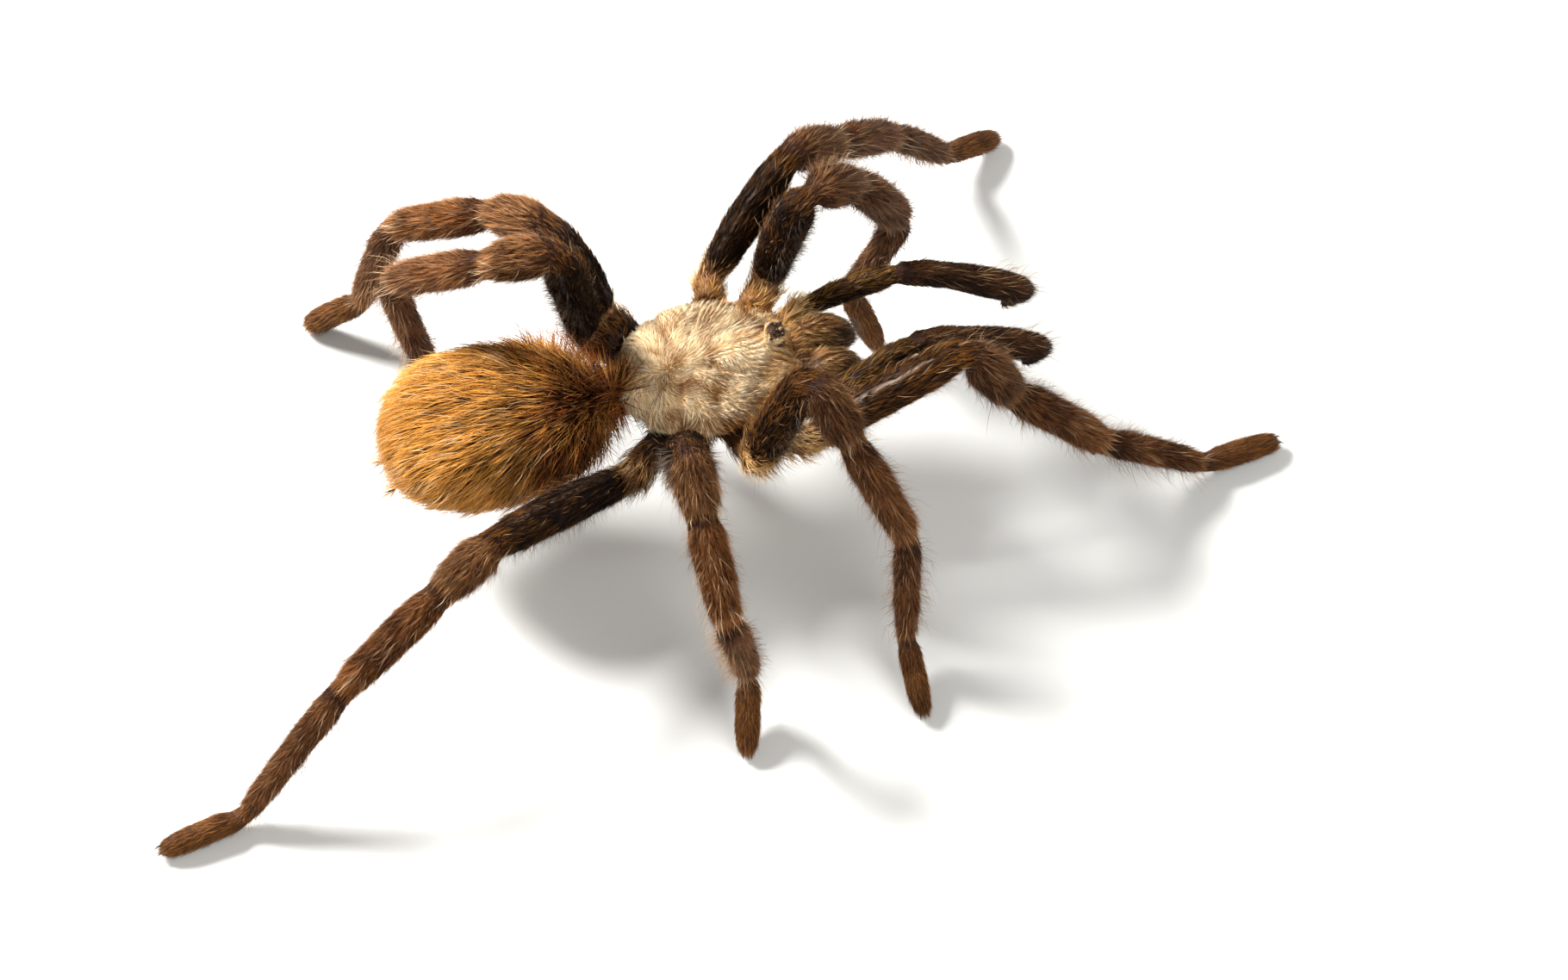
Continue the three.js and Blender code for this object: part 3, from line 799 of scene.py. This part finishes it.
CLYPEUS = 10.3  # how far ahead of the fovea the carapace's bare front edge begins
CLYPEUS_WIDTH = 5.4
CLYPEUS_COLOUR = "#a98768"


def on_clypeus(points):
    local = points - FOVEA
    return smooth(local[:, 0], CLYPEUS, CLYPEUS + 0.25) * smooth(CLYPEUS_WIDTH / 2 - abs(local[:, 1]), 0, 0.6)


def carapace_place(points, normals):
    local, reach, turn = round_fovea(points)
    ahead = 3.2 * smooth(local[:, 0], -2.5, 2.5) * smooth(6.5 - abs(local[:, 1]), 0, 4.5)
    flow = unit(np.column_stack([local[:, 0] + ahead, local[:, 1], np.zeros(len(points))]))
    whorl = grooves(points, WHORL_WIDTH)[1]
    swirl = 0.55 * waves(points, 3.6, seed=3) + 0.3 * waves(points, 1.7, seed=4) - 0.9 * whorl
    flow = unit(flow + swirl[:, None] * np.cross(UP, flow))
    uv = (points[:, :2] - CARAPACE_MIDDLE[:2]) / 19 + 0.5
    grain = np.column_stack([reach, -GIRTH["carapace"] * turn])
    eyes = on_tubercle(points, BARE_MOUND)
    bare = np.maximum(0.93 * eyes, smooth(-normals[:, 2], 0.1, 0.4))
    bare = np.maximum(bare, 0.9 * on_clypeus(points))
    near_eyes = np.linalg.norm(points[:, :2] - EYE_MIDDLE[:2], axis=1)
    trim = 0.5 + 0.5 * smooth(near_eyes, 1, 3)
    share = np.clip(reach / 9, 0, 1)
    return Place("carapace", share, normals[:, 2], flow, uv, grain, turn, bare, trim, 0.0, near_eyes)


GAP_TOP = 0.42  # how high the painted shade in the gap between the chelicerae reaches, in half their height
# how dark that painted shade is
GAP_SHADE = 0.7


def chelicera_place(points, normals, name):
    low, high = (np.array(corner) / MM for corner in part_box(name))
    share = np.clip((points[:, 0] - low[0]) / (high[0] - low[0]), 0, 1)
    flow = np.tile(unit(np.array([1.0, 0, -0.3])), (len(points), 1))
    middle = (low + high) / 2
    angle = np.arctan2(points[:, 2] - middle[2], points[:, 1] - middle[1])
    uv = unwrapped(share, angle)
    grain = np.column_stack([points[:, 0], GIRTH["chelicera"] * angle])
    hidden = smooth(-normals[:, 0], 0.7, 0.9)
    inward = np.sign(CARAPACE_MIDDLE[1] - middle[1]) * normals[:, 1]
    height = (points[:, 2] - middle[2]) / (high[2] - middle[2])
    # painted shade on the inner sides, deep in the gap between the chelicerae
    facing = smooth(inward, 0.35, 0.75) * smooth(GAP_TOP - height, 0, 0.35)
    trim = 1 - 0.3 * facing
    return Place("chelicera", share, normals[:, 2], flow, uv, grain, angle, hidden, trim, GAP_SHADE * facing)


def place_of(points, normals, name):
    if name == "abdomen":
        return abdomen_place(points, normals)
    if name == UNDERBODY:
        return underbody_place(points, normals)
    if name == "carapace":
        return carapace_place(points, normals)
    if name.startswith("chelicera"):
        return chelicera_place(points, normals, name)
    return limb_place(points, normals, name)


# Markings with painted light and shade, the same on the skin and on the coat: how light a place is, from 0 to
# 1

WORN_SPOT = np.array([-4.6, -1.1, 7])  # a small dark patch on the abdomen, from its middle
WORN_SIZE = np.array([1.1, 0.8, 4])
PALP_JOINT = 0.5  # where the palp's last joint shows, along its outer part
MOTTLE = 0.45  # how much the light places differ from the dark ones
CARAPACE_MOTTLE = 2.9  # how much stronger the mottling of the carapace is


def markings_and_painted_light(points, place):
    mottle = 0.5 + 0.28 * waves(points, 1.6, seed=11) + 0.22 * waves(points, 4.5, seed=12)
    share = place.share
    if place.kind == "abdomen":
        spot = (points - ABDOMEN_MIDDLE - WORN_SPOT) / WORN_SIZE
        light = 0.26 + 0.67 * smooth(share, 0.22, 0.82) - 0.55 * smooth(-place.up, -0.25, 0.7)
        light = light - 0.6 * np.exp(-dot(spot, spot))
    elif place.kind == "carapace":
        light = 0.82 - 0.42 * smooth(share, 0.72, 1) - 0.25 * grooves(points)[0]
        light = light - 0.3 * smooth(0.1 - share, 0, 0.08)
        mottle = 0.5 + CARAPACE_MOTTLE * (mottle - 0.5)
    elif place.kind == "femur":
        light = 0.08 + 0.55 * smooth(share, 0.85, 1) + 0.45 * smooth(1 - share, 0.85, 1)
    elif place.kind == "palp_femur":
        # lighter on the top, partly golden hair and partly painted light, and golden near its root
        light = 0.15 + 0.45 * smooth(place.up, 0.2, 0.95) + 0.3 * smooth(1 - share, 0.8, 1)
    elif place.kind == "palp_outer":
        joint = np.exp(-((share - PALP_JOINT) / 0.025) ** 2)
        # a dark ring at the last joint, a golden patella, and a painted sheen streak along the top
        light = 0.06 + 0.3 * smooth(place.up, 0.4, 1) - 0.4 * joint + 0.35 * smooth(0.3 - share, 0, 0.15)
    elif place.kind == "tarsus":
        light = 0.62 - 0.35 * smooth(-place.up, 0, 0.8)
    elif place.kind == UNDERBODY:
        light = 0.3 + 0.7 * smooth(share, 0.6, 0.95)
    elif place.kind == "chelicera":
        # lighter on the top, partly its golden-brown hair and partly painted light, with painted shade below,
        # and lighter towards the base
        light = 0.05 + 0.4 * smooth(place.up, 0.15, 0.9) + 0.35 * smooth(0.65 - share, 0, 0.5)
    else:
        # lighter towards the far end, with a little painted light on the top
        light = 0.42 + 0.25 * smooth(share, 0.7, 1) + 0.08 * smooth(place.up, -0.2, 0.8)
    return np.clip(light + MOTTLE * (mottle - 0.5) - place.shade, 0, 1)


SKIN_COLOURS = {
    "abdomen": ("#20120a", "#4a2a12"),
    UNDERBODY: ("#22150e", "#7a5430"),
    "carapace": ("#54341a", "#a67a48"),
    "chelicera": ("#170c06", "#5a3a20"),
    "femur": ("#110703", "#2c180c"),
    "tarsus": ("#26140a", "#573820"),
}
LIMB_SKIN = ("#28140a", "#66401f")
TUBERCLE_COLOUR = "#2a1a11"


def blend(base, code, amount):
    """A colour, or one for each point, turned towards another by each point's amount."""
    return base * (1 - amount)[:, None] + rgb(code) * amount[:, None]


def skin_colours(points, place):
    dark, light = SKIN_COLOURS.get(place.kind.replace("palp_", ""), LIMB_SKIN)
    colours = blend(rgb(dark), light, markings_and_painted_light(points, place))
    if place.kind == "carapace":
        colours = blend(colours, TUBERCLE_COLOUR, on_tubercle(points, BARE_MOUND))
        colours = blend(colours, CLYPEUS_COLOUR, on_clypeus(points))
    if place.kind == "femur":
        # painted sheen on the bare stripe
        colours = blend(colours, STRIPE_SHEEN_COLOUR, place.bare)
        colours = blend(colours, MEMBRANE_COLOUR, smooth(0.12 - place.share, 0, 0.08))
    return colours


GRAIN_STRETCH = 0.16  # how much the grain is drawn out along the hair


def skin_grain(place):
    """Where each point is on its form, drawn out along the lie of the hair."""
    girth = GIRTH.get(place.kind, LIMB_GIRTH)
    across = girth * np.cos(place.turn), girth * np.sin(place.turn)
    return np.column_stack([GRAIN_STRETCH * place.grain[:, 0], *across])


def add_surface(name, points, faces, owners, names, material):
    """The skin or a plate, with its colours and grain; owners says which of names each point is on."""
    normals = point_normals(points, faces)
    colours = np.zeros_like(points)
    grain = np.zeros_like(points)
    for index, node in enumerate(names):
        members = owners == index
        if members.any():
            place = place_of(points[members], normals[members], node)
            colours[members] = skin_colours(points[members], place)
            grain[members] = skin_grain(place)
    mesh = build_mesh(name, points, faces)
    add_tint(mesh, colours)
    add_grain(mesh, grain)
    return add_object(name, mesh, material)


# Hair: closed strands with three sides, a bend and a point

MOUND_HAIR = 14.0  # makes up for the eyes' mound counting as bare

WHERE = {
    "all": lambda place: np.ones(len(place.share)),
    "top": lambda place: smooth(place.up, -0.3, 0.5),
    "under": lambda place: smooth(-place.up, 0.1, 0.7),
    "low": lambda place: smooth(-place.up, -0.3, 0.35),
    "end": lambda place: smooth(place.share, 0.62, 0.95) * smooth(place.up, -0.7, 0.2),
    "root": lambda place: smooth(1 - place.share, 0.82, 0.97),
    "rim": lambda place: smooth(place.share, 0.8, 0.97),
    "neck": lambda place: smooth(1 - place.share, 0.6, 0.8) * smooth(place.up, -0.1, 0.5),
    "pit": lambda place: smooth(0.11 - place.share, 0, 0.06),
    "mound": lambda place: (place.bare > 0.5) * (place.up > 0.3) * (place.share < 0.98) * MOUND_HAIR,
    "eye_ring": lambda place: smooth(2.3 - place.eyes, 0, 0.5) * (place.bare < 0.5),
    "brow": lambda place: smooth(place.share, 0.9, 1) * smooth(0.75 - abs(place.turn), 0, 0.3),
}

FUZZ = ("#7a5434", "#d4ae84")  # fine pale hair that stands out from the limbs
HALO = ("#402417", "#b48c6a")  # short hair that stands up all over the outer joints of the legs
FRINGE = ("#483a30", "#ac9c8e")  # greyer hair under the femora and in front of the chelicerae


def knee_coat(undercoat, main, ends):
    """The layers of a patella or a tibia, from the colours of three of them."""
    return [
        Layer(21, 1.0, 0.085, 18, 4, 10, *undercoat, "all", 1),
        Layer(31, 1.7, 0.058, 20, 7, 8, *main, "all", 1),
        Layer(11, 1.4, 0.042, 64, 54, 16, *HALO, "all", 1),
        Layer(1.4, 2.4, 0.045, 48, 30, 18, *FUZZ, "all", 2),
        Layer(1.6, 3.4, 0.055, 44, 26, 18, *ends, "end", 2),
    ]


# The layers of each form's hair, from the undercoat out
COAT = {
    "abdomen": [
        Layer(9, 1.7, 0.1, 20, 4, 8, "#1c0a03", "#5a3010", "all", 1),
        Layer(17, 3.2, 0.09, 19, 4, 4, "#4a2008", "#e6a34c", "all", 2),
        Layer(1.2, 3.6, 0.05, 34, 18, 9, "#8c4c20", "#f4d4a4", "all", 2),
        Layer(8.5, 4.1, 0.1, 38, 34, 11, "#3a150a", "#cc7636", "neck", 2),
    ],
    "carapace": [
        Layer(130, 0.9, 0.07, 15, 6, 10, "#824c18", "#ffdfac", "all", 1),
        Layer(20, 1.25, 0.05, 16, 5, 12, "#b9823c", "#fff0d0", "all", 2),
        Layer(14, 0.8, 0.06, 20, 8, 16, "#2c160a", "#6a4320", "all", 1),
        Layer(14, 1.7, 0.055, 24, 6, 18, "#7a4618", "#e6ae62", "rim", 2),
        Layer(30, 1.3, 0.06, 18, -8, 12, "#c8a068", "#fbeccb", "brow", 2),
        Layer(90, 0.5, 0.045, 30, 20, 40, "#3a2414", "#a87840", "mound", 1),
        Layer(46, 1.2, 0.05, 32, 8, 16, "#a4702e", "#ffe2ac", "eye_ring", 1),
        Layer(90, 0.7, 0.06, 35, 20, 70, "#6a4320", "#c99c64", "pit", 1),
    ],
    "chelicera": [
        Layer(110, 0.9, 0.07, 14, 5, 8, "#160b05", "#a4723e", "all", 1),
        Layer(16, 1.3, 0.055, 15, 4, 8, "#3c2110", "#d6aa74", "all", 2),
        Layer(20, 1.9, 0.04, 40, 16, 18, *FRINGE, "end", 2),
    ],
    UNDERBODY: [
        Layer(14, 1.1, 0.08, 22, 6, 14, "#341b0c", "#b07c40", "all", 1),
        Layer(7, 1.9, 0.065, 28, 8, 15, "#704018", "#e0aa66", "all", 2),
        Layer(14, 2.4, 0.06, 32, 6, 15, "#6a3a14", "#f8d294", "rim", 2),
    ],
    "femur": [
        Layer(26, 0.95, 0.085, 14, 3, 9, "#0a0402", "#2a1409", "all", 1),
        Layer(17, 1.5, 0.055, 17, 6, 8, "#120702", "#9c6428", "all", 1),
        Layer(0.5, 2.2, 0.05, 38, 18, 14, *FUZZ, "top", 2),
        Layer(15, 1.6, 0.042, 72, 60, 10, *FRINGE, "low", 1),
        Layer(26, 1.35, 0.06, 28, 4, 14, "#4a280c", "#f6c682", "root", 2),
    ],
    "patella": knee_coat(("#1e0c05", "#6b3a1c"), ("#341406", "#c48a54"), ("#a06c3c", "#ecd4b0")),
    "tibia": knee_coat(("#1c0a04", "#643216"), ("#321305", "#b8743a"), ("#a06c3c", "#e9cda4")),
    "metatarsus": [
        Layer(21, 0.9, 0.085, 16, 4, 10, "#1c0b05", "#603217", "all", 1),
        Layer(31, 1.5, 0.058, 18, 6, 8, "#321305", "#b67640", "all", 1),
        Layer(10, 1.3, 0.042, 64, 54, 16, *HALO, "all", 1),
        Layer(1.2, 2.2, 0.045, 50, 32, 18, *FUZZ, "all", 2),
        Layer(3.6, 2.9, 0.04, 50, 34, 14, *FUZZ, "low", 2),
    ],
    "tarsus": [
        Layer(30, 0.7, 0.075, 18, 5, 11, "#220e07", "#6c4022", "all", 1),
        Layer(30, 1.1, 0.052, 19, 7, 10, "#3e1e0c", "#b2763a", "all", 1),
        Layer(14, 0.55, 0.07, 62, 50, 16, "#1e1612", "#483a30", "under", 1),
    ],
    "palp_femur": [
        Layer(26, 0.85, 0.075, 16, 4, 11, "#080302", "#26150c", "all", 1),
        Layer(22, 1.3, 0.055, 18, 7, 10, "#140a05", "#b27e38", "all", 1),
        Layer(1.5, 1.8, 0.045, 55, 38, 18, *FUZZ, "all", 2),
        Layer(20, 1.3, 0.055, 34, 12, 14, "#7a5420", "#f4c878", "root", 2),
    ],
    "palp_outer": [
        Layer(28, 0.75, 0.075, 18, 4, 11, "#0a0403", "#2c1a11", "all", 1),
        Layer(24, 1.1, 0.055, 20, 7, 10, "#180c07", "#8c6038", "all", 1),
        Layer(2.2, 2.1, 0.05, 50, 32, 18, *FUZZ, "top", 2),
    ],
}


def scatter(points, triangles, weights, random):
    """Random places on a mesh, as many to each triangle as its weight says."""
    total = np.cumsum(weights)
    count = int(total[-1])
    picks = np.searchsorted(total, random.uniform(0, total[-1], count))
    picks = np.minimum(picks, len(triangles) - 1)
    first, second = random.uniform(size=(2, count))
    folded = first + second > 1
    first = np.where(folded, 1 - first, first)
    second = np.where(folded, 1 - second, second)
    corners = points[triangles[picks]]
    one_way = first[:, None] * (corners[:, 1] - corners[:, 0])
    other_way = second[:, None] * (corners[:, 2] - corners[:, 0])
    return picks, corners[:, 0] + (one_way + other_way), first, second


LOCK_WIDTH = {"abdomen": 0.5, "carapace": 0.45, "chelicera": 0.4}  # from one lock of hair to the next
LIMB_LOCK = 0.42
LOCK_SEED = 21
LOCK_PULL = 0.2  # how far, in radians, a strand turns towards its lock
LOCK_LIGHT = 0.22  # how much lighter the hair is on a lock's crest, as painted light, and darker between locks, as painted shade
LIMB_LOCK_LIGHT = 0.15
VARY = {"abdomen": 0.24, "carapace": 0.15, "chelicera": 0.2}  # how much one strand's lightness strays
LIMB_VARY = 0.21
LOCK_KEPT = 0.6  # share of the scattered strands that are kept where a lock is of middling height
LOCK_GATHER = 0.8  # how much more hair stands on a lock's crest than beside it
LOCK_RISE = 0.25  # how much more steeply it stands there
LENGTHS = (0.65, 1.2)  # the least and the most that one strand may have of its layer's length
WIDTHS = (0.75, 1.25)
LIFTS = (0.6, 1.35)
DROOPS = (0.2, 1.6)
FLOOR_GAP = 0.06  # how close to the floor a strand may come


BRISTLE_RISE = 1.3


def raised(place):
    """How much more steeply the hair stands: the bristles on the front of the abdomen stand up."""
    if place.kind != "abdomen":
        return 1.0
    return 1 + BRISTLE_RISE * smooth(1 - place.share, 0.62, 0.97) * smooth(place.up, -0.4, 0.7)


def strand_arrays(roots, normals, layer, place, random):
    """One layer's strands: the points that each runs through, its side and the height of its lock."""
    count = len(roots)
    flat = unit(place.flow - dot(place.flow, normals)[:, None] * normals)
    side = np.cross(normals, flat)
    height, slope = locks(roots, place.grain, LOCK_WIDTH.get(place.kind, LIMB_LOCK), LOCK_SEED)
    turn = np.radians(layer.spread) * (0.5 * waves(roots, 1.5, seed=23) + 0.7 * random.normal(size=count))
    turn -= LOCK_PULL * slope
    heading = np.cos(turn)[:, None] * flat + np.sin(turn)[:, None] * side
    length = layer.length * place.trim * random.uniform(*LENGTHS, count)
    length = length * (1 + 0.12 * waves(roots, 1.5, seed=22))
    rise = raised(place) * (1 + LOCK_RISE * height)
    lift = np.radians(layer.lift) * random.uniform(*LIFTS, count) * rise
    droop = np.radians(layer.droop) * random.uniform(*DROOPS, count) * rise
    first = np.cos(lift)[:, None] * heading + np.sin(lift)[:, None] * normals
    second = np.cos(droop)[:, None] * heading + np.sin(droop)[:, None] * normals
    base = roots - 0.03 * normals
    if layer.steps == 1:
        steps = [base, base + length[:, None] * unit(first + second)]
    else:
        bend = base + 0.45 * length[:, None] * first
        steps = [base, bend, bend + 0.55 * length[:, None] * second]
    return np.stack(steps, axis=1), np.cross(normals, heading), height


THREE_WAYS = np.radians([90, 210, 330])


def strand_mesh(curves, sides, normals, widths):
    """Closed three-sided strands along the curves, how far along each point is and how many a strand has."""
    count, steps, _ = curves.shape
    rings = steps - 1
    points = []
    for ring in range(rings):
        slim = 1 - 0.25 * ring / rings
        for angle in THREE_WAYS:
            out = np.cos(angle) * sides + 0.7 * np.sin(angle) * normals
            points.append(curves[:, ring] + out * (0.5 * slim * widths)[:, None])
    points.append(curves[:, -1])
    points = np.stack(points, axis=1)
    faces = [(0, 2, 1)]
    for ring in range(rings - 1):
        for k in range(3):
            a, b = 3 * ring + k, 3 * ring + (k + 1) % 3
            faces += [(a, b, b + 3), (a, b + 3, a + 3)]
    last = 3 * (rings - 1)
    faces += [(last + k, last + (k + 1) % 3, 3 * rings) for k in range(3)]
    each = 3 * rings + 1
    triangles = (np.array(faces)[None] + (np.arange(count) * each)[:, None, None]).reshape(-1, 3)
    share = np.array([ring / rings for ring in range(rings) for _ in range(3)] + [1.0])
    return (points.reshape(-1, 3), triangles), np.tile(share, count), each


PATCH = 0.003  # size of a strand's patch on the unwrapped skin
ROOT_SHADE = {"carapace": 0.7}  # how light a strand is at its root, against its written colour: painted shade deep in the coat
LIMB_ROOT_SHADE = 0.5
TIP_SHADE = 1.2


def sow(points, normals, faces, weights, node, random):
    """The roots of one layer's strands, closer together on the crests of the locks, and the normals there."""
    picks, roots, first, second = scatter(points, faces, weights / LOCK_KEPT, random)
    shares = np.column_stack([1 - first - second, first, second])
    root_normals = unit((normals[faces[picks]] * shares[:, :, None]).sum(1))
    place = place_of(roots, root_normals, node)
    crest = locks(roots, place.grain, LOCK_WIDTH.get(place.kind, LIMB_LOCK), LOCK_SEED)[0]
    kept = random.uniform(size=len(roots)) < np.clip(LOCK_KEPT * (1 + LOCK_GATHER * crest), 0, 1)
    return roots[kept], root_normals[kept]


def comb(roots, normals, layer, place, random):
    """One layer's strands: their shape, their colours and their patches on the unwrapped skin."""
    curves, sides, height = strand_arrays(roots, normals, layer, place, random)
    curves[:, 1:, 2] = np.maximum(curves[:, 1:, 2], FLOOR_GAP)
    widths = layer.width * random.uniform(*WIDTHS, len(roots))
    shape, share, each = strand_mesh(curves, sides, normals, widths)
    # painted light on the locks' crests and painted shade between them
    lock_light = LOCK_LIGHT if place.kind in LOCK_WIDTH else LIMB_LOCK_LIGHT
    light = markings_and_painted_light(roots, place) + lock_light * height
    light += random.normal(0, VARY.get(place.kind, LIMB_VARY), len(roots))
    tint = blend(rgb(layer.low), layer.high, np.clip(light, 0, 1))
    # painted shade deep in the coat: darker at the root, lighter towards the tip
    dark = ROOT_SHADE.get(place.kind, LIMB_ROOT_SHADE)
    tint = np.repeat(tint, each, axis=0) * (dark + (TIP_SHADE - dark) * share)[:, None]
    centre = np.repeat(0.01 + 0.98 * np.clip(place.uv, 0, 1), each, axis=0)
    across = np.tile(np.arange(each) % 3 / 2 - 0.5, len(roots))
    return shape, tint, centre + PATCH * np.column_stack([across, share - 0.5])


def grow(name, surface, owners, names, seed):
    """One coat piece: every layer of hair on the triangles that belong to the named solids."""
    points, triangles = surface
    normals = point_normals(points, triangles)
    random = np.random.default_rng(seed)
    layers = []
    for index, node in enumerate(names):
        faces = triangles[owners == index]
        if not len(faces):
            continue
        areas = np.linalg.norm(triangle_normals(points, faces), axis=1) / 2
        rough = place_of(points[faces].mean(1), unit(normals[faces].mean(1)), node)
        for layer in COAT[rough.kind]:
            weights = areas * layer.density * WHERE[layer.where](rough) * (1 - rough.bare)
            roots, root_normals = sow(points, normals, faces, weights, node, random)
            layers.append(comb(roots, root_normals, layer, place_of(roots, root_normals, node), random))
    shapes, tints, uvs = zip(*layers)
    corners, faces = join_shapes(shapes)
    mesh = build_mesh(name, corners, faces)
    add_tint(mesh, np.vstack(tints))
    uv = np.vstack(uvs)[faces.ravel()]
    mesh.uv_layers.new(name="OFBake").data.foreach_set("uv", uv.astype(np.float32).ravel())
    print(name, len(faces), "triangles")
    return add_object(name, mesh, HAIR_MATERIAL)


# Build: the skin, the shell plates and their coats

SHELL_VOXEL = 0.2  # how fine a plate is


def shell_depth(points):
    """The coat's depth over the carapace, which thins away on the mound of the eyes."""
    return DEPTH["carapace"] * (1 - on_tubercle(points))


def shell_shape(name):
    """A plate just inside its solid; the carapace's has grooves."""
    depth = shell_depth if name == "carapace" else coat_depth(name)
    points, faces = fuse([shrunk(name, depth)], SHELL_VOXEL, rounds=3)
    if name == "carapace":
        relief = GROOVE_DEPTH * grooves(points)[0]
        points = points - relief[:, None] * point_normals(points, faces)
    return points, faces


SHELLS = ("carapace", "chelicera_left", "chelicera_right")
COATS = {f"coat_{limb}": names for limb, names in LIMBS.items()}
COATS["coat_abdomen"] = ["abdomen"]
COATS["coat_underbody"] = [UNDERBODY]

skin_points, skin_faces = skin_shape()
point_owner = nearest_nodes(skin_points, SKIN_NODES)
skin = add_surface("skin", skin_points, skin_faces, point_owner, SKIN_NODES, SKIN_MATERIAL)
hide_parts(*SKIN_NODES)
face_owner = point_owner[skin_faces[:, 0]]
print("skin", len(skin_faces), "triangles")

for number, (name, members) in enumerate(COATS.items()):
    chosen = np.full(len(face_owner), -1)
    for index, node in enumerate(members):
        chosen[face_owner == SKIN_NODES.index(node)] = index
    grow(name, (skin_points, skin_faces), chosen, members, seed=100 + number)

for number, name in enumerate(SHELLS):
    points, faces = shell_shape(name)
    on_plate = np.zeros(len(points), int)
    shell = add_surface(f"{name}_shell", points, faces, on_plate, [name], SHELL_MATERIAL)
    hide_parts(name)
    on_face = np.zeros(len(faces), int)
    grow(f"coat_{name}", (points, faces), on_face, [name], seed=200 + number)


# Eyes, fangs, claws and spurs

FANG_VOXEL = 0.1
CLAW_LENGTH = 0.9
CLAW_RISE = 0.35  # how high over the sole a claw grows
CLAW_ASIDE = 0.28  # how far to the side of the foot's middle
EYE_SWELL = 0.82  # an eye's radius, against its solid's
EYE_SINK = 0.5  # how far an eye is set into the mound, in its own radius
SPUR_SHARE = 0.86  # where along the tibia the spurs grow
SPUR_LEAN = math.radians(52)
SPUR_REACH = (0.9, 2.3)  # where a spur begins and ends, from the tibia's middle line


def add_plain(name, shape, material):
    points, faces = shape
    return add_object(name, build_mesh(name, points, faces), material)


def claws(limb):
    """The two small claws at the tip of a foot, side by side among the hairs."""
    ankle, tip = JOINTS[limb][-2:]
    ahead = unit((tip - ankle) * np.array([1, 1, 0.35]))
    side, _ = cross_axes(ahead)
    shapes = []
    for sign in (1, -1):
        root = tip + sign * CLAW_ASIDE * side + np.array([0, 0, CLAW_RISE]) - 0.5 * ahead
        point = root + CLAW_LENGTH * ahead + sign * 0.12 * side - np.array([0, 0, 0.3])
        shapes.append(horn(root, point, np.array([0, 0, 0.22]), thick=0.13, thin=0.03, around=8, steps=6))
    return shapes


def spurs(limb):
    """The two blunt spurs under the far end of a male's first tibia."""
    start, end = JOINTS[limb][2:4]
    ahead = unit(end - start)
    side, above = cross_axes(ahead)
    middle = start + SPUR_SHARE * (end - start)
    shapes = []
    for sign in (1, -1):
        lean = unit(math.sin(SPUR_LEAN) * ahead - math.cos(SPUR_LEAN) * above + sign * 0.35 * side)
        root, tip = (middle + reach * lean for reach in SPUR_REACH)
        shapes.append(horn(root, tip, -0.15 * above, thick=0.3, thin=0.16))
    return shapes


def lens(name):
    """An eye's smooth round cornea, set down into the mound."""
    low, high = (np.array(corner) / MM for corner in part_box(name))
    radius = (high - low).max() / 2 * EYE_SWELL
    out = unit((low + high) / 2 - (EYE_MIDDLE - np.array([0, 0, 1.2])))
    return ball((low + high) / 2 - EYE_SINK * radius * out, radius, around=32)


for name in NODES:
    if name.startswith("eye"):
        eye = add_plain(f"{name}_lens", lens(name), EYE_MATERIAL)
        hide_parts(name)
    elif name.startswith("fang"):
        shape = fuse([node_arrays(name)], FANG_VOXEL, rounds=6)
        fang = add_plain(f"{name}_horn", shape, FANG_MATERIAL)
        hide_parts(name)

legs = [limb for limb in LIMBS if limb.startswith("leg")]
add_plain("claws", join_shapes([shape for limb in legs for shape in claws(limb)]), FANG_MATERIAL)
spur_shapes = [shape for limb in legs if limb.startswith("leg1") for shape in spurs(limb)]
add_plain("tibial_spurs", join_shapes(spur_shapes), SPUR_MATERIAL)


# Camera, floor and lights

def add_aimed(name, data, place, direction):
    """A camera or lamp at a place, turned to look in a direction."""
    thing = new_object(name, data)
    thing.location = place
    thing.rotation_euler = direction.to_track_quat("-Z", "Y").to_euler()
    return thing


def add_camera():
    aim = Vector((CARAPACE_MIDDLE[0] + CAMERA_AIM[0], CARAPACE_MIDDLE[1] + CAMERA_AIM[1], 0)) * MM
    azimuth = math.radians(CAMERA_AZIMUTH)
    elevation = math.radians(CAMERA_ELEVATION)
    level = math.cos(elevation)
    away = Vector((level * math.sin(azimuth), -level * math.cos(azimuth), math.sin(elevation)))
    data = bpy.data.cameras.new("camera")
    data.lens = CAMERA_LENS
    data.sensor_width = 36
    data.clip_start = 0.01
    data.clip_end = 20
    bpy.context.scene.camera = add_aimed("camera", data, aim + away * CAMERA_DISTANCE * MM, -away)


def add_area(name, direction, distance, size, power):
    light = bpy.data.lights.new(name, "AREA")
    light.shape = "DISK"
    light.size = size
    light.energy = power
    place = Vector(direction).normalized() * distance
    add_aimed(name, light, place, -place)


FLOOR_HALF = 3  # metres
FLOOR_COLOUR = "#d9d8d4"
SKY_LIGHT = 0.34


def add_floor():
    corners = FLOOR_HALF * np.array([[-1, -1, 0], [1, -1, 0], [1, 1, 0], [-1, 1, 0]])
    mesh = build_mesh("floor", corners / MM, np.array([[0, 1, 2], [0, 2, 3]]))
    material, _, _, shader = new_material("pale_floor")
    set_inputs(shader, {"Base Color": (*rgb(FLOOR_COLOUR), 1), "Roughness": 0.9})
    mesh.materials.append(material)
    new_object("floor", mesh)


def add_world():
    world = bpy.data.worlds.new("studio")
    world.use_nodes = True
    background = world.node_tree.nodes["Background"]
    set_inputs(background, {"Color": (1, 0.99, 0.98, 1), "Strength": SKY_LIGHT})
    bpy.context.scene.world = world


add_camera()
add_floor()
add_world()
add_area("key", (-1.03, 1.13, 1.4), distance=0.6, size=0.2, power=11.5)
add_area("fill", (0.8, -1.0, 1.6), distance=0.8, size=0.6, power=4)
bpy.context.scene.view_settings.view_transform = "Standard"
